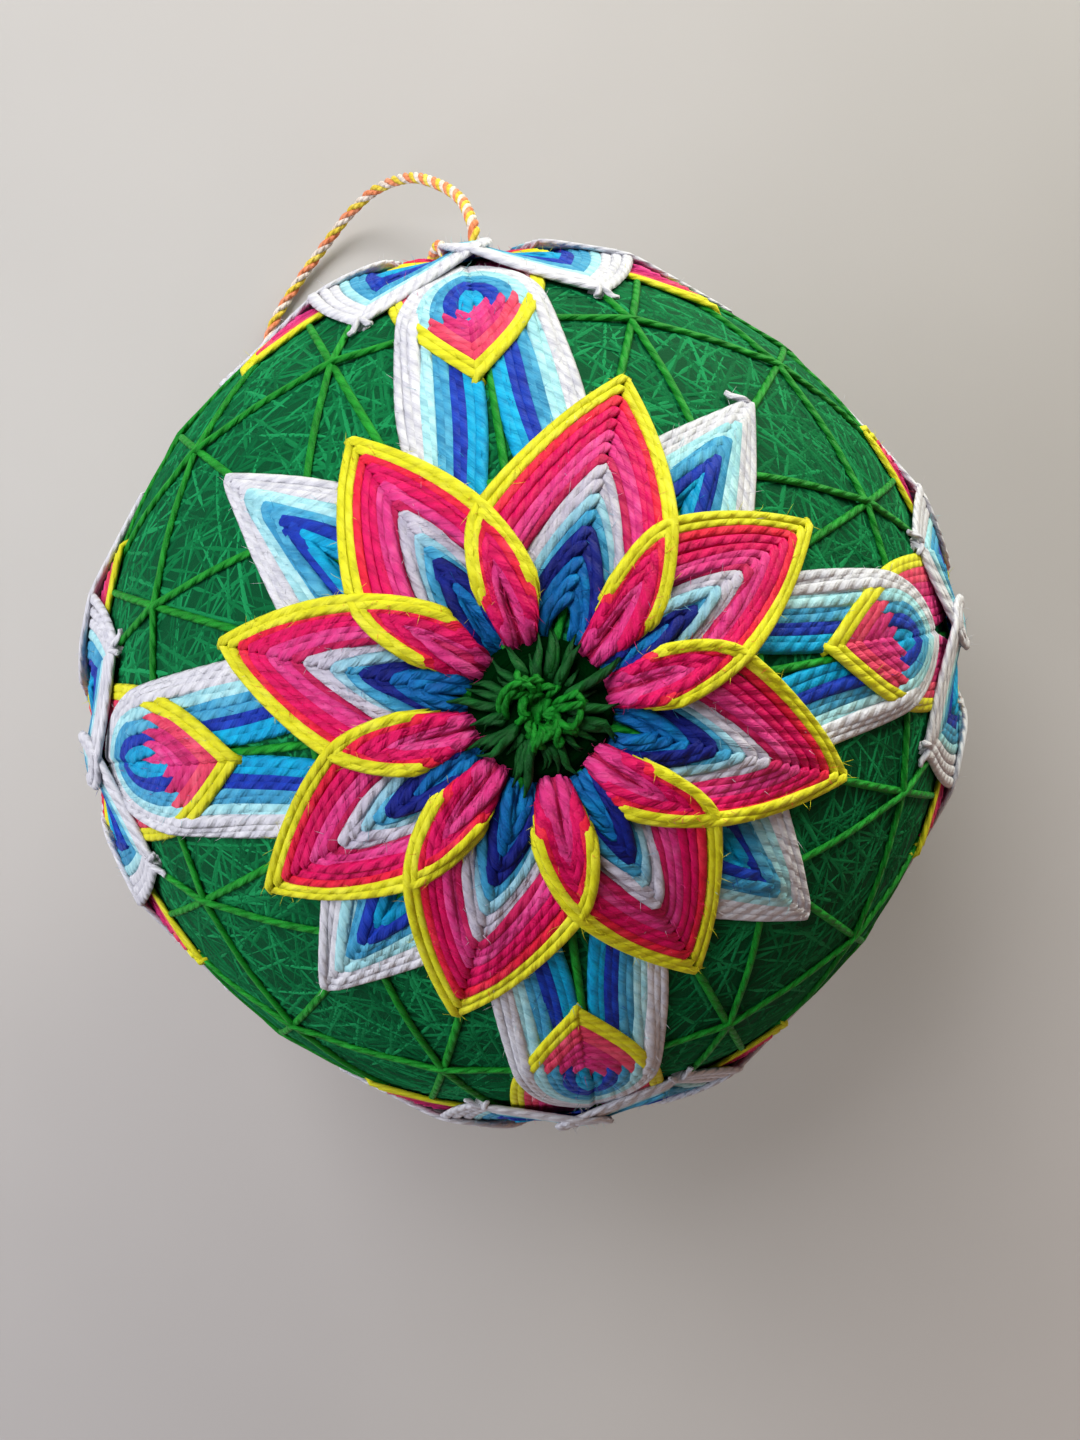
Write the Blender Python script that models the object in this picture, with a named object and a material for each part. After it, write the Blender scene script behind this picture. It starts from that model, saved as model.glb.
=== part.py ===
"""Temari ball: a thread-wound ball with a layered eight-petal flower at each of its six poles and
a twisted hanging loop.

Run it with blender --background --python part.py, or from Blender's text editor.
Blender's units are metres, +Z is up. The origin is on the floor under the middle of the ball.
The front pole looks up along +Z, the hanging loop is sewn into the top pole on +Y, and the ball
stands on a small flat spot on the raised stitches around its back pole.

The working unit in the functions is the millimetre, and angles are degrees. A flower is drawn in
polar coordinates about its pole: the polar angle is measured from the pole, and the azimuth runs
around it from the direction of a neighbouring pole.
"""

import math

import bpy
import bmesh
import numpy as np
from mathutils import Vector

MM = 0.001

# Driving sizes, in millimetres. Radii are measured from the middle of the ball.
BALL_RADIUS = 45.0
THREAD_LAYER = 0.7
FACET_GAP = 0.5
RAISED_STITCH = 1.5
REST_HEIGHT = 47.15

# A flower's layers: the lower one lies on the ball, and the upper one crosses over it.
# FACET_GAP keeps 0.3 mm between them where flat faces cut inside the round.
LOWER_UNDERSIDE = BALL_RADIUS + FACET_GAP
LOWER_TOP = LOWER_UNDERSIDE + THREAD_LAYER
UPPER_UNDERSIDE = LOWER_TOP + FACET_GAP
UPPER_TOP = UPPER_UNDERSIDE + THREAD_LAYER
CENTRE_UNDERSIDE = BALL_RADIUS + 0.65

# Polar angles of the flowers' edges, in degrees.
CENTRE_EDGE = 6.9
UPPER_INNER_EDGE = 7.5
UPPER_NOTCH = 20.5
LOWER_INNER_EDGE = 17.5
UPPER_TIP_FRONT = 34.5
UPPER_TIP_SIDE = 40.0
LOWER_TIP_FRONT = 43.0
LOWER_TIP_SIDE = 45.0
PETAL_BULGE = 1.0

# Neighbouring lower flowers meet half way between their poles, this far apart.
MEETING_GAP = 0.4

# The lower flower's edge over one eighth turn, from an axis petal's middle line to the tip of a
# diagonal petal. None marks the stretch where the petal meets its neighbour's.
# Columns: azimuth, polar angle.
LOWER_EDGE = (
    (0.0, None),
    (8.0, None),
    (13.4, None),
    (17.5, 34.5),
    (22.5, 26.0),
    (32.5, 31.5),
    (40.0, 38.5),
)

# Sample azimuths over one half petal of the upper flower, from a raised stitch to a tip, and
# the fractions of the way from its inner edge to its outer edge on its upper face. The underside
# bends where it climbs onto the lower flower, and its fractions run from there.
UPPER_AZIMUTHS = (0.0, 7.5, 15.0)
UPPER_HALF_PETAL = 22.5
UPPER_TOP_STEPS = (0.0, 0.2, 0.42, 0.66, 0.86, 1.0)
UPPER_UNDER_STEPS = (1.0, 0.66, 0.33, 0.0)
UNDER_BEND_POLAR = 14.0
LOWER_STEPS = (0.0, 1.0 / 3.0, 2.0 / 3.0, 1.0)

# The raised stitch over each notch: half width in degrees of arc, and how far around a half sine
# its height and width run between its two ends.
RAISED_HALF_WIDTH = 3.6
RAISED_SINE_START = 0.2
RAISED_SINE_SPAN = 0.72

# Where the upper flower's underside climbs from the ball onto the lower flower: polar angles.
# Past the lower flower's edge it comes down again, slowly, after a short reach.
CLIMB_START = 10.5
CLIMB_END = 13.5
FALL_REACH = 4.0
FALL_LENGTH = 42.0

# The centre stitches: a ring of short spokes around a knot with a dimple.
CENTRE_SPOKES = 16
SPOKE_VALLEY = 0.86
# Columns: fraction of the edge's polar angle, height over the ball in millimetres.
CENTRE_PROFILE = ((0.2, 1.25), (0.45, 1.35), (1.0, 0.75))

# The hanging loop: a cord of three plies, twisted. Its route starts and ends at the top pole.
CORD_RADIUS = 0.75
CORD_PLIES = 3
PLY_DEPTH = 0.12
CORD_STEP = 1.35
CORD_TURN_LENGTH = 8.1
# Columns: x, y, z of the route, in millimetres.
CORD_ROUTE = (
    (1.1, 47.1, 47.2),
    (1.8, 51.5, 46.4),
    (1.7, 54.9, 42.5),
    (1.1, 60.0, 35.0),
    (-1.0, 65.5, 26.5),
    (-4.8, 71.0, 17.0),
    (-9.9, 73.5, 9.0),
    (-14.6, 72.5, 4.5),
    (-19.0, 69.5, 2.2),
    (-25.0, 64.0, 1.1),
    (-30.0, 57.5, 1.0),
    (-32.0, 49.0, 1.0),
    (-28.0, 41.0, 1.0),
    (-20.0, 38.0, 1.2),
    (-12.0, 41.0, 5.0),
    (-7.0, 47.0, 15.0),
    (-4.5, 52.0, 29.0),
    (-2.4, 52.5, 41.0),
    (-1.1, 47.1, 47.2),
)

# Poles: name, outward axis, and the direction of azimuth zero.
POLES = (
    ("front", (0, 0, 1), (0, 1, 0)),
    ("back", (0, 0, -1), (0, 1, 0)),
    ("top", (0, 1, 0), (0, 0, 1)),
    ("bottom", (0, -1, 0), (0, 0, 1)),
    ("right", (1, 0, 0), (0, 0, 1)),
    ("left", (-1, 0, 0), (0, 0, 1)),
)
END_POLES = ("front", "back")

# Colours: name, red, green, blue, roughness.
WRAP_GREEN = ("wrap_green", 0.04, 0.22, 0.08, 0.75)
CENTRE_GREEN = ("centre_green", 0.01, 0.14, 0.02, 0.7)
BLUE_THREADS = ("blue_threads", 0.12, 0.40, 0.75, 0.7)
PINK_THREADS = ("pink_threads", 0.78, 0.05, 0.18, 0.7)
CORD_YELLOW = ("cord_yellow", 0.80, 0.62, 0.22, 0.75)


def clear_scene():
    """Removes every object of the open file."""
    for old in list(bpy.data.objects):
        bpy.data.objects.remove(old, do_unlink=True)


def make_material(look):
    """Returns the material of one named look, made once."""
    name, red, green, blue, roughness = look
    material = bpy.data.materials.get(name)
    if material is None:
        material = bpy.data.materials.new(name)
        material.use_nodes = True
        shader = material.node_tree.nodes["Principled BSDF"]
        shader.inputs["Base Color"].default_value = (red, green, blue, 1.0)
        shader.inputs["Roughness"].default_value = roughness
        shader.inputs["Metallic"].default_value = 0.0
    return material


def add_object(name, mesh, look, collection):
    """Puts a mesh in the collection as a named object with its material."""
    mesh.materials.append(make_material(look))
    mesh.shade_smooth()
    made = bpy.data.objects.new(name, mesh)
    collection.objects.link(made)
    return made


def mesh_from_loops(name, loops, closing):
    """Makes one closed body by joining loops of points with faces.

    closing is "ring" where the last loop joins the first one, or "ends" where the first and the
    last loop are each closed with a fan around their middle point.
    """
    shell = bmesh.new()
    rows = [[shell.verts.new(Vector(point) * MM) for point in loop] for loop in loops]
    around = len(rows[0])
    pairs = list(zip(rows, rows[1:]))
    if closing == "ring":
        pairs.append((rows[-1], rows[0]))
    for near, far in pairs:
        for step in range(around):
            after = (step + 1) % around
            shell.faces.new((near[step], far[step], far[after], near[after]))
    if closing == "ends":
        for row, forward in ((rows[0], True), (rows[-1], False)):
            middle = sum((vert.co for vert in row), Vector()) / around
            hub = shell.verts.new(middle)
            for step in range(around):
                after = (step + 1) % around
                first, second = (step, after) if forward else (after, step)
                shell.faces.new((hub, row[first], row[second]))
    mesh = bpy.data.meshes.new(name)
    shell.to_mesh(mesh)
    shell.free()
    return mesh


def on_ball(pole, azimuths, polars, radii):
    """Turns polar coordinates about a pole into points, lifted so that the floor is at zero.

    Whatever would reach below the resting height is pressed flat on the floor.
    """
    _, axis, zero = pole
    axis = np.array(axis, float)
    zero = np.array(zero, float)
    side = np.cross(axis, zero)
    azimuths = np.radians(np.asarray(azimuths, float))[:, None]
    polars = np.radians(np.asarray(polars, float))[:, None]
    radii = np.broadcast_to(np.asarray(radii, float), azimuths.shape[0])[:, None]
    flat = np.cos(azimuths) * zero + np.sin(azimuths) * side
    points = radii * (np.sin(polars) * flat + np.cos(polars) * axis)
    points[:, 2] = np.maximum(points[:, 2] + REST_HEIGHT, 0.0)
    return points


def meeting_polar(azimuth):
    """The polar angle at which a lower flower ends half way to the neighbouring pole.

    On the middle plane, tan(polar) = 1 / cos(azimuth). The edge stays half the gap short of it.
    """
    turn = math.radians(azimuth)
    middle = math.atan(1.0 / math.cos(turn))
    slope = math.sin(middle) + math.cos(middle) * math.cos(turn)
    back = MEETING_GAP / 2.0 * math.sqrt(2.0) / (BALL_RADIUS * slope)
    return math.degrees(middle - back)


def lower_edge_samples(tip):
    """The lower flower's edge all around, as arrays of azimuths and polar angles."""
    eighth = [
        (azimuth, meeting_polar(azimuth) if polar is None else polar)
        for azimuth, polar in LOWER_EDGE
    ]
    quarter = eighth + [(45.0, tip)] + [(90.0 - azimuth, polar) for azimuth, polar in eighth[:0:-1]]
    samples = [(azimuth + 90.0 * turn, polar) for turn in range(4) for azimuth, polar in quarter]
    azimuths, polars = np.array(samples).T
    return azimuths, polars


def upper_edge_polar(from_tip, tip):
    """The upper flower's edge: a curve from a petal's tip to the notch beside it, bulged outward.

    from_tip is the azimuth from the petal's middle line, between 0 and half a petal.
    """
    half = math.radians(UPPER_HALF_PETAL)
    end = np.array([UPPER_NOTCH * math.sin(half), UPPER_NOTCH * math.cos(half)])
    start = np.array([0.0, tip])
    run = end - start
    outward = np.array([-run[1], run[0]]) / np.linalg.norm(run)
    along = np.linspace(0.0, 1.0, 33)[:, None]
    curve = start + run * along + outward * 4.0 * PETAL_BULGE * along * (1.0 - along)
    azimuths = np.degrees(np.arctan2(curve[:, 0], curve[:, 1]))
    return float(np.interp(from_tip, azimuths, np.hypot(curve[:, 0], curve[:, 1])))


def upper_edge_samples(tip):
    """The upper flower's edge all around: azimuth, polar angle, azimuth from the raised stitch."""
    half = [(azimuth, azimuth) for azimuth in UPPER_AZIMUTHS]
    back = [(45.0 - azimuth, azimuth) for azimuth in UPPER_AZIMUTHS[:0:-1]]
    petal = half + [(UPPER_HALF_PETAL, UPPER_HALF_PETAL)] + back
    samples = [
        (azimuth + 45.0 * turn, upper_edge_polar(UPPER_HALF_PETAL - off, tip), off)
        for turn in range(8)
        for azimuth, off in petal
    ]
    return np.array(samples).T


def raised_height(polar, off):
    """Height of the crossed stitches over a notch, an oval mound along the notch's own line."""
    along = np.clip((polar - UPPER_INNER_EDGE) / (UPPER_NOTCH - UPPER_INNER_EDGE), 0.0, 1.0)
    swell = np.sin(math.pi * (RAISED_SINE_START + RAISED_SINE_SPAN * along)) ** 0.5
    aside = np.degrees(np.arcsin(np.sin(np.radians(polar)) * np.sin(np.radians(off))))
    across = np.sqrt(np.clip(1.0 - (aside / (RAISED_HALF_WIDTH * swell)) ** 2, 0.0, 1.0))
    return RAISED_STITCH * across * swell


def upper_underside(azimuths, polars, lower_tip):
    """The upper flower's underside: on the ball in the middle, then over the lower flower."""
    edge_azimuths, edge_polars = lower_edge_samples(lower_tip)
    edge = np.interp(azimuths, edge_azimuths, edge_polars, period=360.0)
    rise = np.clip((polars - CLIMB_START) / (CLIMB_END - CLIMB_START), 0.0, 1.0)
    fall = np.clip(1.0 - (polars - edge - FALL_REACH) / FALL_LENGTH, 0.0, 1.0)
    return LOWER_UNDERSIDE + (UPPER_UNDERSIDE - LOWER_UNDERSIDE) * rise * fall


def add_lower_flower(pole, tip, look, collection):
    """The lower layer: four long petals toward the neighbouring poles and four short ones."""
    azimuths, edge = lower_edge_samples(tip)
    spans = [LOWER_INNER_EDGE + (edge - LOWER_INNER_EDGE) * step for step in LOWER_STEPS]
    loops = [on_ball(pole, azimuths, polars, LOWER_TOP) for polars in spans]
    loops += [on_ball(pole, azimuths, polars, LOWER_UNDERSIDE) for polars in reversed(spans)]
    name = pole[0] + "_lower_flower"
    return add_object(name, mesh_from_loops(name, loops, "ring"), look, collection)


def add_upper_flower(pole, tip, lower_tip, look, collection):
    """The upper layer: eight petals, with a raised bundle of crossed stitches over each notch."""
    azimuths, edge, off = upper_edge_samples(tip)
    loops = []
    for step in UPPER_TOP_STEPS:
        polars = UPPER_INNER_EDGE + (edge - UPPER_INNER_EDGE) * step
        under = upper_underside(azimuths, polars, lower_tip)
        top = np.where(polars < LOWER_INNER_EDGE, UPPER_TOP, under + THREAD_LAYER)
        loops.append(on_ball(pole, azimuths, polars, top + raised_height(polars, off)))
    under_polars = [UNDER_BEND_POLAR + (edge - UNDER_BEND_POLAR) * step for step in UPPER_UNDER_STEPS]
    under_polars.append(np.full_like(edge, UPPER_INNER_EDGE))
    for polars in under_polars:
        loops.append(on_ball(pole, azimuths, polars, upper_underside(azimuths, polars, lower_tip)))
    name = pole[0] + "_upper_flower"
    return add_object(name, mesh_from_loops(name, loops, "ring"), look, collection)


def add_centre(pole, collection):
    """The centre: short green spokes around a knot, one low star-shaped disc."""
    azimuths = np.arange(CENTRE_SPOKES) * 360.0 / CENTRE_SPOKES
    valley = np.where(np.arange(CENTRE_SPOKES) % 2 == 0, 1.0, SPOKE_VALLEY)
    loops = [
        on_ball(pole, azimuths, CENTRE_EDGE * share * valley**share, BALL_RADIUS + height)
        for share, height in CENTRE_PROFILE
    ]
    loops.append(on_ball(pole, azimuths, CENTRE_EDGE * valley, CENTRE_UNDERSIDE))
    name = pole[0] + "_centre"
    return add_object(name, mesh_from_loops(name, loops, "ends"), CENTRE_GREEN, collection)


def add_ball(collection):
    """The ball itself, wound with fine green thread."""
    sphere = bmesh.new()
    bmesh.ops.create_uvsphere(sphere, u_segments=40, v_segments=20, radius=BALL_RADIUS * MM)
    bmesh.ops.translate(sphere, verts=sphere.verts, vec=(0.0, 0.0, REST_HEIGHT * MM))
    mesh = bpy.data.meshes.new("ball")
    sphere.to_mesh(mesh)
    sphere.free()
    return add_object("ball", mesh, WRAP_GREEN, collection)


def smooth_route(points, step):
    """A smooth cubic curve through the points, resampled at an even step."""
    points = np.array(points, float)
    padded = np.vstack([2 * points[0] - points[1], points, 2 * points[-1] - points[-2]])
    share = np.linspace(0.0, 1.0, 24, endpoint=False)[:, None]
    pieces = []
    for before, start, end, after in zip(padded, padded[1:], padded[2:], padded[3:]):
        leaving = (end - before) / 2.0
        arriving = (after - start) / 2.0
        pieces.append(
            start * (2 * share**3 - 3 * share**2 + 1)
            + leaving * (share**3 - 2 * share**2 + share)
            + end * (3 * share**2 - 2 * share**3)
            + arriving * (share**3 - share**2)
        )
    curve = np.vstack(pieces + [points[-1:]])
    length = np.concatenate([[0.0], np.cumsum(np.linalg.norm(np.diff(curve, axis=0), axis=1))])
    wanted = np.linspace(0.0, length[-1], int(round(length[-1] / step)) + 1)
    return np.stack([np.interp(wanted, length, curve[:, axis]) for axis in range(3)], axis=1)


def add_loop_cord(collection):
    """The hanging loop, with the ridges of its plies turning around it."""
    route = smooth_route(CORD_ROUTE, CORD_STEP)
    tangents = np.gradient(route, axis=0)
    tangents /= np.linalg.norm(tangents, axis=1)[:, None]
    across = Vector((1.0, 0.0, 0.0))
    sides = 2 * CORD_PLIES
    radii = [CORD_RADIUS - (PLY_DEPTH if side % 2 else 0.0) for side in range(sides)]
    loops = []
    for count, (point, tangent) in enumerate(zip(route, tangents)):
        along = Vector(tangent)
        across = (across - along * across.dot(along)).normalized()
        beside = along.cross(across)
        turn = 2.0 * math.pi * count * CORD_STEP / CORD_TURN_LENGTH
        loop = []
        for side, radius in enumerate(radii):
            angle = turn + 2.0 * math.pi * side / sides
            offset = across * math.cos(angle) + beside * math.sin(angle)
            loop.append(Vector(point) + offset * radius)
        loops.append(loop)
    mesh = mesh_from_loops("loop_cord", loops[::-1], "ends")
    return add_object("loop_cord", mesh, CORD_YELLOW, collection)


def main():
    """Builds the whole object."""
    clear_scene()
    collection = bpy.data.collections.new("temari_ball")
    bpy.context.scene.collection.children.link(collection)
    add_ball(collection)
    for pole in POLES:
        at_end = pole[0] in END_POLES
        lower_tip = LOWER_TIP_FRONT if at_end else LOWER_TIP_SIDE
        upper_tip = UPPER_TIP_FRONT if at_end else UPPER_TIP_SIDE
        lower_look, upper_look = (
            (BLUE_THREADS, PINK_THREADS) if at_end else (PINK_THREADS, BLUE_THREADS)
        )
        add_lower_flower(pole, lower_tip, lower_look, collection)
        add_upper_flower(pole, upper_tip, lower_tip, upper_look, collection)
        add_centre(pole, collection)
    add_loop_cord(collection)


main()
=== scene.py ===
"""The looks of a temari ball: wound thread, marking lines, stitched flowers and a hanging loop.

Every visible thread is laid in the order in which a maker stitches it. A relief map over the whole
ball keeps how high the threads already stand, so a later thread crosses over an earlier one.

Lengths in the functions are millimetres and angles are degrees. A flower is drawn on a flat chart
about its pole: a chart point's distance from the origin is its polar angle, and its direction is
its azimuth, measured from the pole's zero direction. Meshes are written in metres.
"""

import logging
import math
from collections.abc import Iterator, Sequence
from dataclasses import dataclass, field
from enum import Enum
from typing import ClassVar, NamedTuple

import bpy
import numpy as np
from mathutils import Euler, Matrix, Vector


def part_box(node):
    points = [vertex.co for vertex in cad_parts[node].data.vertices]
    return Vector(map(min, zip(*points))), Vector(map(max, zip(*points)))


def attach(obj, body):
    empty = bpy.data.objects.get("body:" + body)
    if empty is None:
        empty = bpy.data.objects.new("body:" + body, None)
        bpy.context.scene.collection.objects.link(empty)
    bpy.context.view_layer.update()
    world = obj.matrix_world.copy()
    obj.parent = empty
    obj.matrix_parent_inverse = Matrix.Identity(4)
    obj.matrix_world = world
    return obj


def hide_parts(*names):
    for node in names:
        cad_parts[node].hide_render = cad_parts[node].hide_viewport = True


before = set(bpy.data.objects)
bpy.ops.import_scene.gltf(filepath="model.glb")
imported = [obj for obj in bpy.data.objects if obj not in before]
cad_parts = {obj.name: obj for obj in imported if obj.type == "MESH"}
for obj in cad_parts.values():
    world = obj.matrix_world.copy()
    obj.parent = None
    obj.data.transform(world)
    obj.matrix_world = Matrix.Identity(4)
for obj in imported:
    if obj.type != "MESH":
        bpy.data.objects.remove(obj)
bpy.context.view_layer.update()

LOG = logging.getLogger("temari")
MM = 0.001
Array = np.ndarray
Table = tuple[tuple[float, float], ...]
Socket = bpy.types.NodeSocket

BALL_LOW, BALL_HIGH = (np.array(corner, float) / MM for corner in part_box("ball"))
BALL_CENTRE = (BALL_LOW + BALL_HIGH) / 2.0
BALL_RADIUS = float(BALL_HIGH[2] - BALL_LOW[2]) / 2.0

# A flower has this many petals, this far apart in azimuth.
PETALS = 8
PITCH = 360.0 / PETALS

# How softly the threads that reach under the ball are pressed flat on the floor.
FLOOR_SOFTNESS = 0.35


def unit(vectors: Array) -> Array:
    """Vectors scaled to length one, along the last axis."""
    return vectors / np.linalg.norm(vectors, axis=-1, keepdims=True)


def smooth_step(share: Array) -> Array:
    """Rises from 0 to 1 as share does, level at both ends: 3 s squared minus 2 s cubed."""
    share = np.clip(share, 0.0, 1.0)
    return share * share * (3.0 - 2.0 * share)


def lift(directions: Array, heights: Array) -> Array:
    """Points over the ball's surface, pressed flat where they would sink into the floor.

    The pressed height is (z + sqrt(z squared + softness squared)) / 2.

    Args:
        directions: unit vectors from the ball's middle.
        heights: heights over the ball's surface.

    Returns:
        Points in millimetres.
    """
    points = BALL_CENTRE + directions * (BALL_RADIUS + np.asarray(heights))[..., None]
    upright = points[..., 2]
    points[..., 2] = (upright + np.sqrt(upright**2 + FLOOR_SOFTNESS**2)) / 2.0
    return points


def cubic(start: Array, leaving: Array, end: Array, arriving: Array, count: int) -> Array:
    """Points of a cubic from start to end with the given tangents.

    Args:
        start: first point.
        leaving: tangent at the first point.
        end: last point.
        arriving: tangent at the last point.
        count: number of points.

    Returns:
        An array of count points.
    """
    share = np.linspace(0.0, 1.0, count)[:, None]
    return (
        start * (2 * share**3 - 3 * share**2 + 1)
        + leaving * (share**3 - 2 * share**2 + share)
        + end * (3 * share**2 - 2 * share**3)
        + arriving * (share**3 - share**2)
    )


def resample(points: Array, step: float) -> Array:
    """Points at an even step along a line of points, both ends kept.

    Args:
        points: the points of the line.
        step: the distance between the new points.

    Returns:
        At least four points.
    """
    gaps = np.linalg.norm(np.diff(points, axis=0), axis=1)
    length = np.concatenate([[0.0], np.cumsum(gaps)])
    count = max(4, int(round(length[-1] / step)) + 1)
    wanted = np.linspace(0.0, length[-1], count)
    return np.stack([np.interp(wanted, length, points[:, k]) for k in range(3)], axis=1)


def rotated(points: Array, turn: float) -> Array:
    """Chart points turned about the pole so that azimuth zero comes to azimuth turn.

    Args:
        points: chart points.
        turn: the azimuth to which azimuth zero comes.

    Returns:
        The turned points.
    """
    cosine, sine = math.cos(math.radians(turn)), math.sin(math.radians(turn))
    points = np.asarray(points, float)
    across, along = points[..., 0], points[..., 1]
    return np.stack([across * cosine + along * sine, along * cosine - across * sine], axis=-1)


def around_pole(polar: Array, azimuth: Array) -> Array:
    """Chart points at polar angles in degrees and azimuths in radians."""
    return polar[..., None] * np.stack([np.sin(azimuth), np.cos(azimuth)], axis=-1)


def bowed(start: Array, end: Array, bulge: float, count: int) -> Array:
    """A chart line from start to end, bowed away from the pole by a share of its length.

    The point at share s is start + run s + outward 4 bulge s (1 - s).

    Args:
        start: first point.
        end: last point.
        bulge: how far the line bows, as a share of its length.
        count: number of points.

    Returns:
        An array of count points.
    """
    run = end - start
    outward = np.array([-run[1], run[0]])
    outward *= math.copysign(1.0, float(outward @ (start + end)))
    share = np.linspace(0.0, 1.0, count)[:, None]
    return start + run * share + outward * 4.0 * bulge * share * (1.0 - share)


def read_off(table: Table, at: Array | float) -> Array:
    """Values at the given places, straight between the rows of a table of places and values."""
    places, values = zip(*table)
    return np.interp(at, places, values)


def uneven(random: np.random.Generator, spread: float, middle: float = 0.0) -> float:
    """A random number about the middle, with the given standard deviation."""
    return middle + float(random.normal(0.0, spread))


@dataclass(frozen=True)
class Pole:
    """One end of an axis of the ball, the middle of a flower."""

    name: str
    axis: tuple[int, int, int]
    zero: tuple[int, int, int]

    def directions(self, chart: Array) -> Array:
        """Unit vectors from the ball's middle to chart points.

        Args:
            chart: chart points.

        Returns:
            A unit vector for each chart point.
        """
        axis, zero = np.array(self.axis, float), np.array(self.zero, float)
        side = np.cross(axis, zero)
        polar = np.radians(np.hypot(chart[..., 0], chart[..., 1]))[..., None]
        azimuth = np.arctan2(chart[..., 0], chart[..., 1])[..., None]
        flat = np.cos(azimuth) * zero + np.sin(azimuth) * side
        return np.sin(polar) * flat + np.cos(polar) * axis


TOP = Pole("top", (0, 1, 0), (0, 0, 1))
BOTTOM = Pole("bottom", (0, -1, 0), (0, 0, 1))
LEFT = Pole("left", (-1, 0, 0), (0, 0, 1))
RIGHT = Pole("right", (1, 0, 0), (0, 0, 1))
FRONT = Pole("front", (0, 0, 1), (0, 1, 0))
BACK = Pole("back", (0, 0, -1), (0, 1, 0))
# In the order in which their flowers take turns.
POLES = (TOP, BOTTOM, LEFT, RIGHT, FRONT, BACK)


class Slot(Enum):
    """Material slots."""

    WRAP = "wrap"
    BLUE = "blue_threads"
    PINK = "pink_threads"
    CENTRE = "centre_threads"
    CORD = "cord"


def linear_colour(code: str) -> tuple[float, float, float]:
    """The linear red, green and blue of a colour written as six hexadecimal digits.

    Args:
        code: the six digits.

    Returns:
        Red, green and blue from 0 to 1.
    """
    parts = [int(code[k : k + 2], 16) / 255.0 for k in (0, 2, 4)]
    red, green, blue = (p / 12.92 if p < 0.04045 else ((p + 0.055) / 1.055) ** 2.4 for p in parts)
    return red, green, blue


class Nodes:
    """A short way to add and join the nodes of one material."""

    def __init__(self, name: str) -> None:
        """Starts a material with an empty node tree.

        Args:
            name: the material's name.
        """
        self.material = bpy.data.materials.new(name)
        self.material.use_nodes = True
        self.tree = self.material.node_tree
        self.tree.nodes.clear()

    def add(self, kind: str, inputs: dict | None = None, **settings: object) -> bpy.types.Node:
        """Adds a node.

        Args:
            kind: the node's type without the ShaderNode prefix.
            inputs: values or sockets for its inputs, by name or number.
            settings: the node's own properties.

        Returns:
            The node.
        """
        node = self.tree.nodes.new("ShaderNode" + kind)
        for name, value in settings.items():
            setattr(node, name, value)
        for key, value in (inputs or {}).items():
            if isinstance(value, Socket):
                self.tree.links.new(value, node.inputs[key])
            else:
                node.inputs[key].default_value = value
        return node

    def math(self, operation: str, *values: object) -> Socket:
        """The result of a Math node on values or sockets."""
        return self.add("Math", dict(enumerate(values)), operation=operation).outputs[0]

    def mix(self, share: object, first: object, second: object) -> Socket:
        """The colour between first and second.

        Args:
            share: how much of the second colour, as a value or a socket.
            first: the colour or socket at a share of 0.
            second: the colour or socket at a share of 1.

        Returns:
            The mixed colour.
        """
        colours = [c if isinstance(c, Socket) else (*c, 1.0) for c in (first, second)]
        node = self.add("Mix", {0: share, 6: colours[0], 7: colours[1]}, data_type="RGBA")
        return node.outputs[2]

    def noise(self, vector: object, scale: float, detail: float = 2.0) -> Socket:
        """The value of a noise texture at a vector."""
        wanted = {"Vector": vector, "Scale": scale, "Detail": detail}
        return self.add("TexNoise", wanted).outputs["Fac"]

    def ramp(self, value: object, low: float, high: float) -> Socket:
        """The value stretched so that low becomes 0 and high becomes 1, smoothly."""
        wanted = {"Value": value, "From Min": low, "From Max": high}
        return self.add("MapRange", wanted, interpolation_type="SMOOTHSTEP").outputs[0]

    def finish(self, inputs: dict) -> bpy.types.Material:
        """Adds a Principled shader with the given inputs and joins it to the material's output.

        Args:
            inputs: the shader's values or sockets, by name.

        Returns:
            The material.
        """
        shader = self.add("BsdfPrincipled", inputs)
        self.add("OutputMaterial", {"Surface": shader.outputs[0]})
        return self.material


class Tint(NamedTuple):
    """A colour that comes in as a value goes from start to full, by the share most at the end."""

    start: float
    full: float
    most: float

    def over(self, nodes: Nodes, tone: object, colour: object, value: object) -> Socket:
        """The tone with the colour mixed in where the value asks for it."""
        share = nodes.math("MULTIPLY", nodes.ramp(value, self.start, self.full), self.most)
        return nodes.mix(share, tone, colour)


class DyeNoise(NamedTuple):
    """How fast a dye's noise changes along the thread and around it, its scale and its detail."""

    along: float
    around: float
    scale: float
    detail: float

    def value(self, nodes: Nodes, along: object, around: object, strand: object) -> Socket:
        """The noise's value, different for each strand.

        Args:
            nodes: the nodes of the material.
            along: the place along the thread.
            around: the place around the thread.
            strand: the thread's value from 0 to 1.

        Returns:
            The value's socket.
        """
        place = {
            0: nodes.math("MULTIPLY", along, self.along),
            1: nodes.math("MULTIPLY", around, self.around),
            2: nodes.math("MULTIPLY", strand, STRAND_SPREAD),
        }
        return nodes.noise(nodes.add("CombineXYZ", place).outputs[0], self.scale, self.detail)


# Noise cells between the first strand and the last.
STRAND_SPREAD = 90.0
# Streaks follow the twisted plies, and patches lie straight along the thread.
STREAKS = DyeNoise(0.5, 8.0, 1.5, 4.0)
PATCHES = DyeNoise(0.5, 1.5, 1.0, 2.0)
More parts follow.
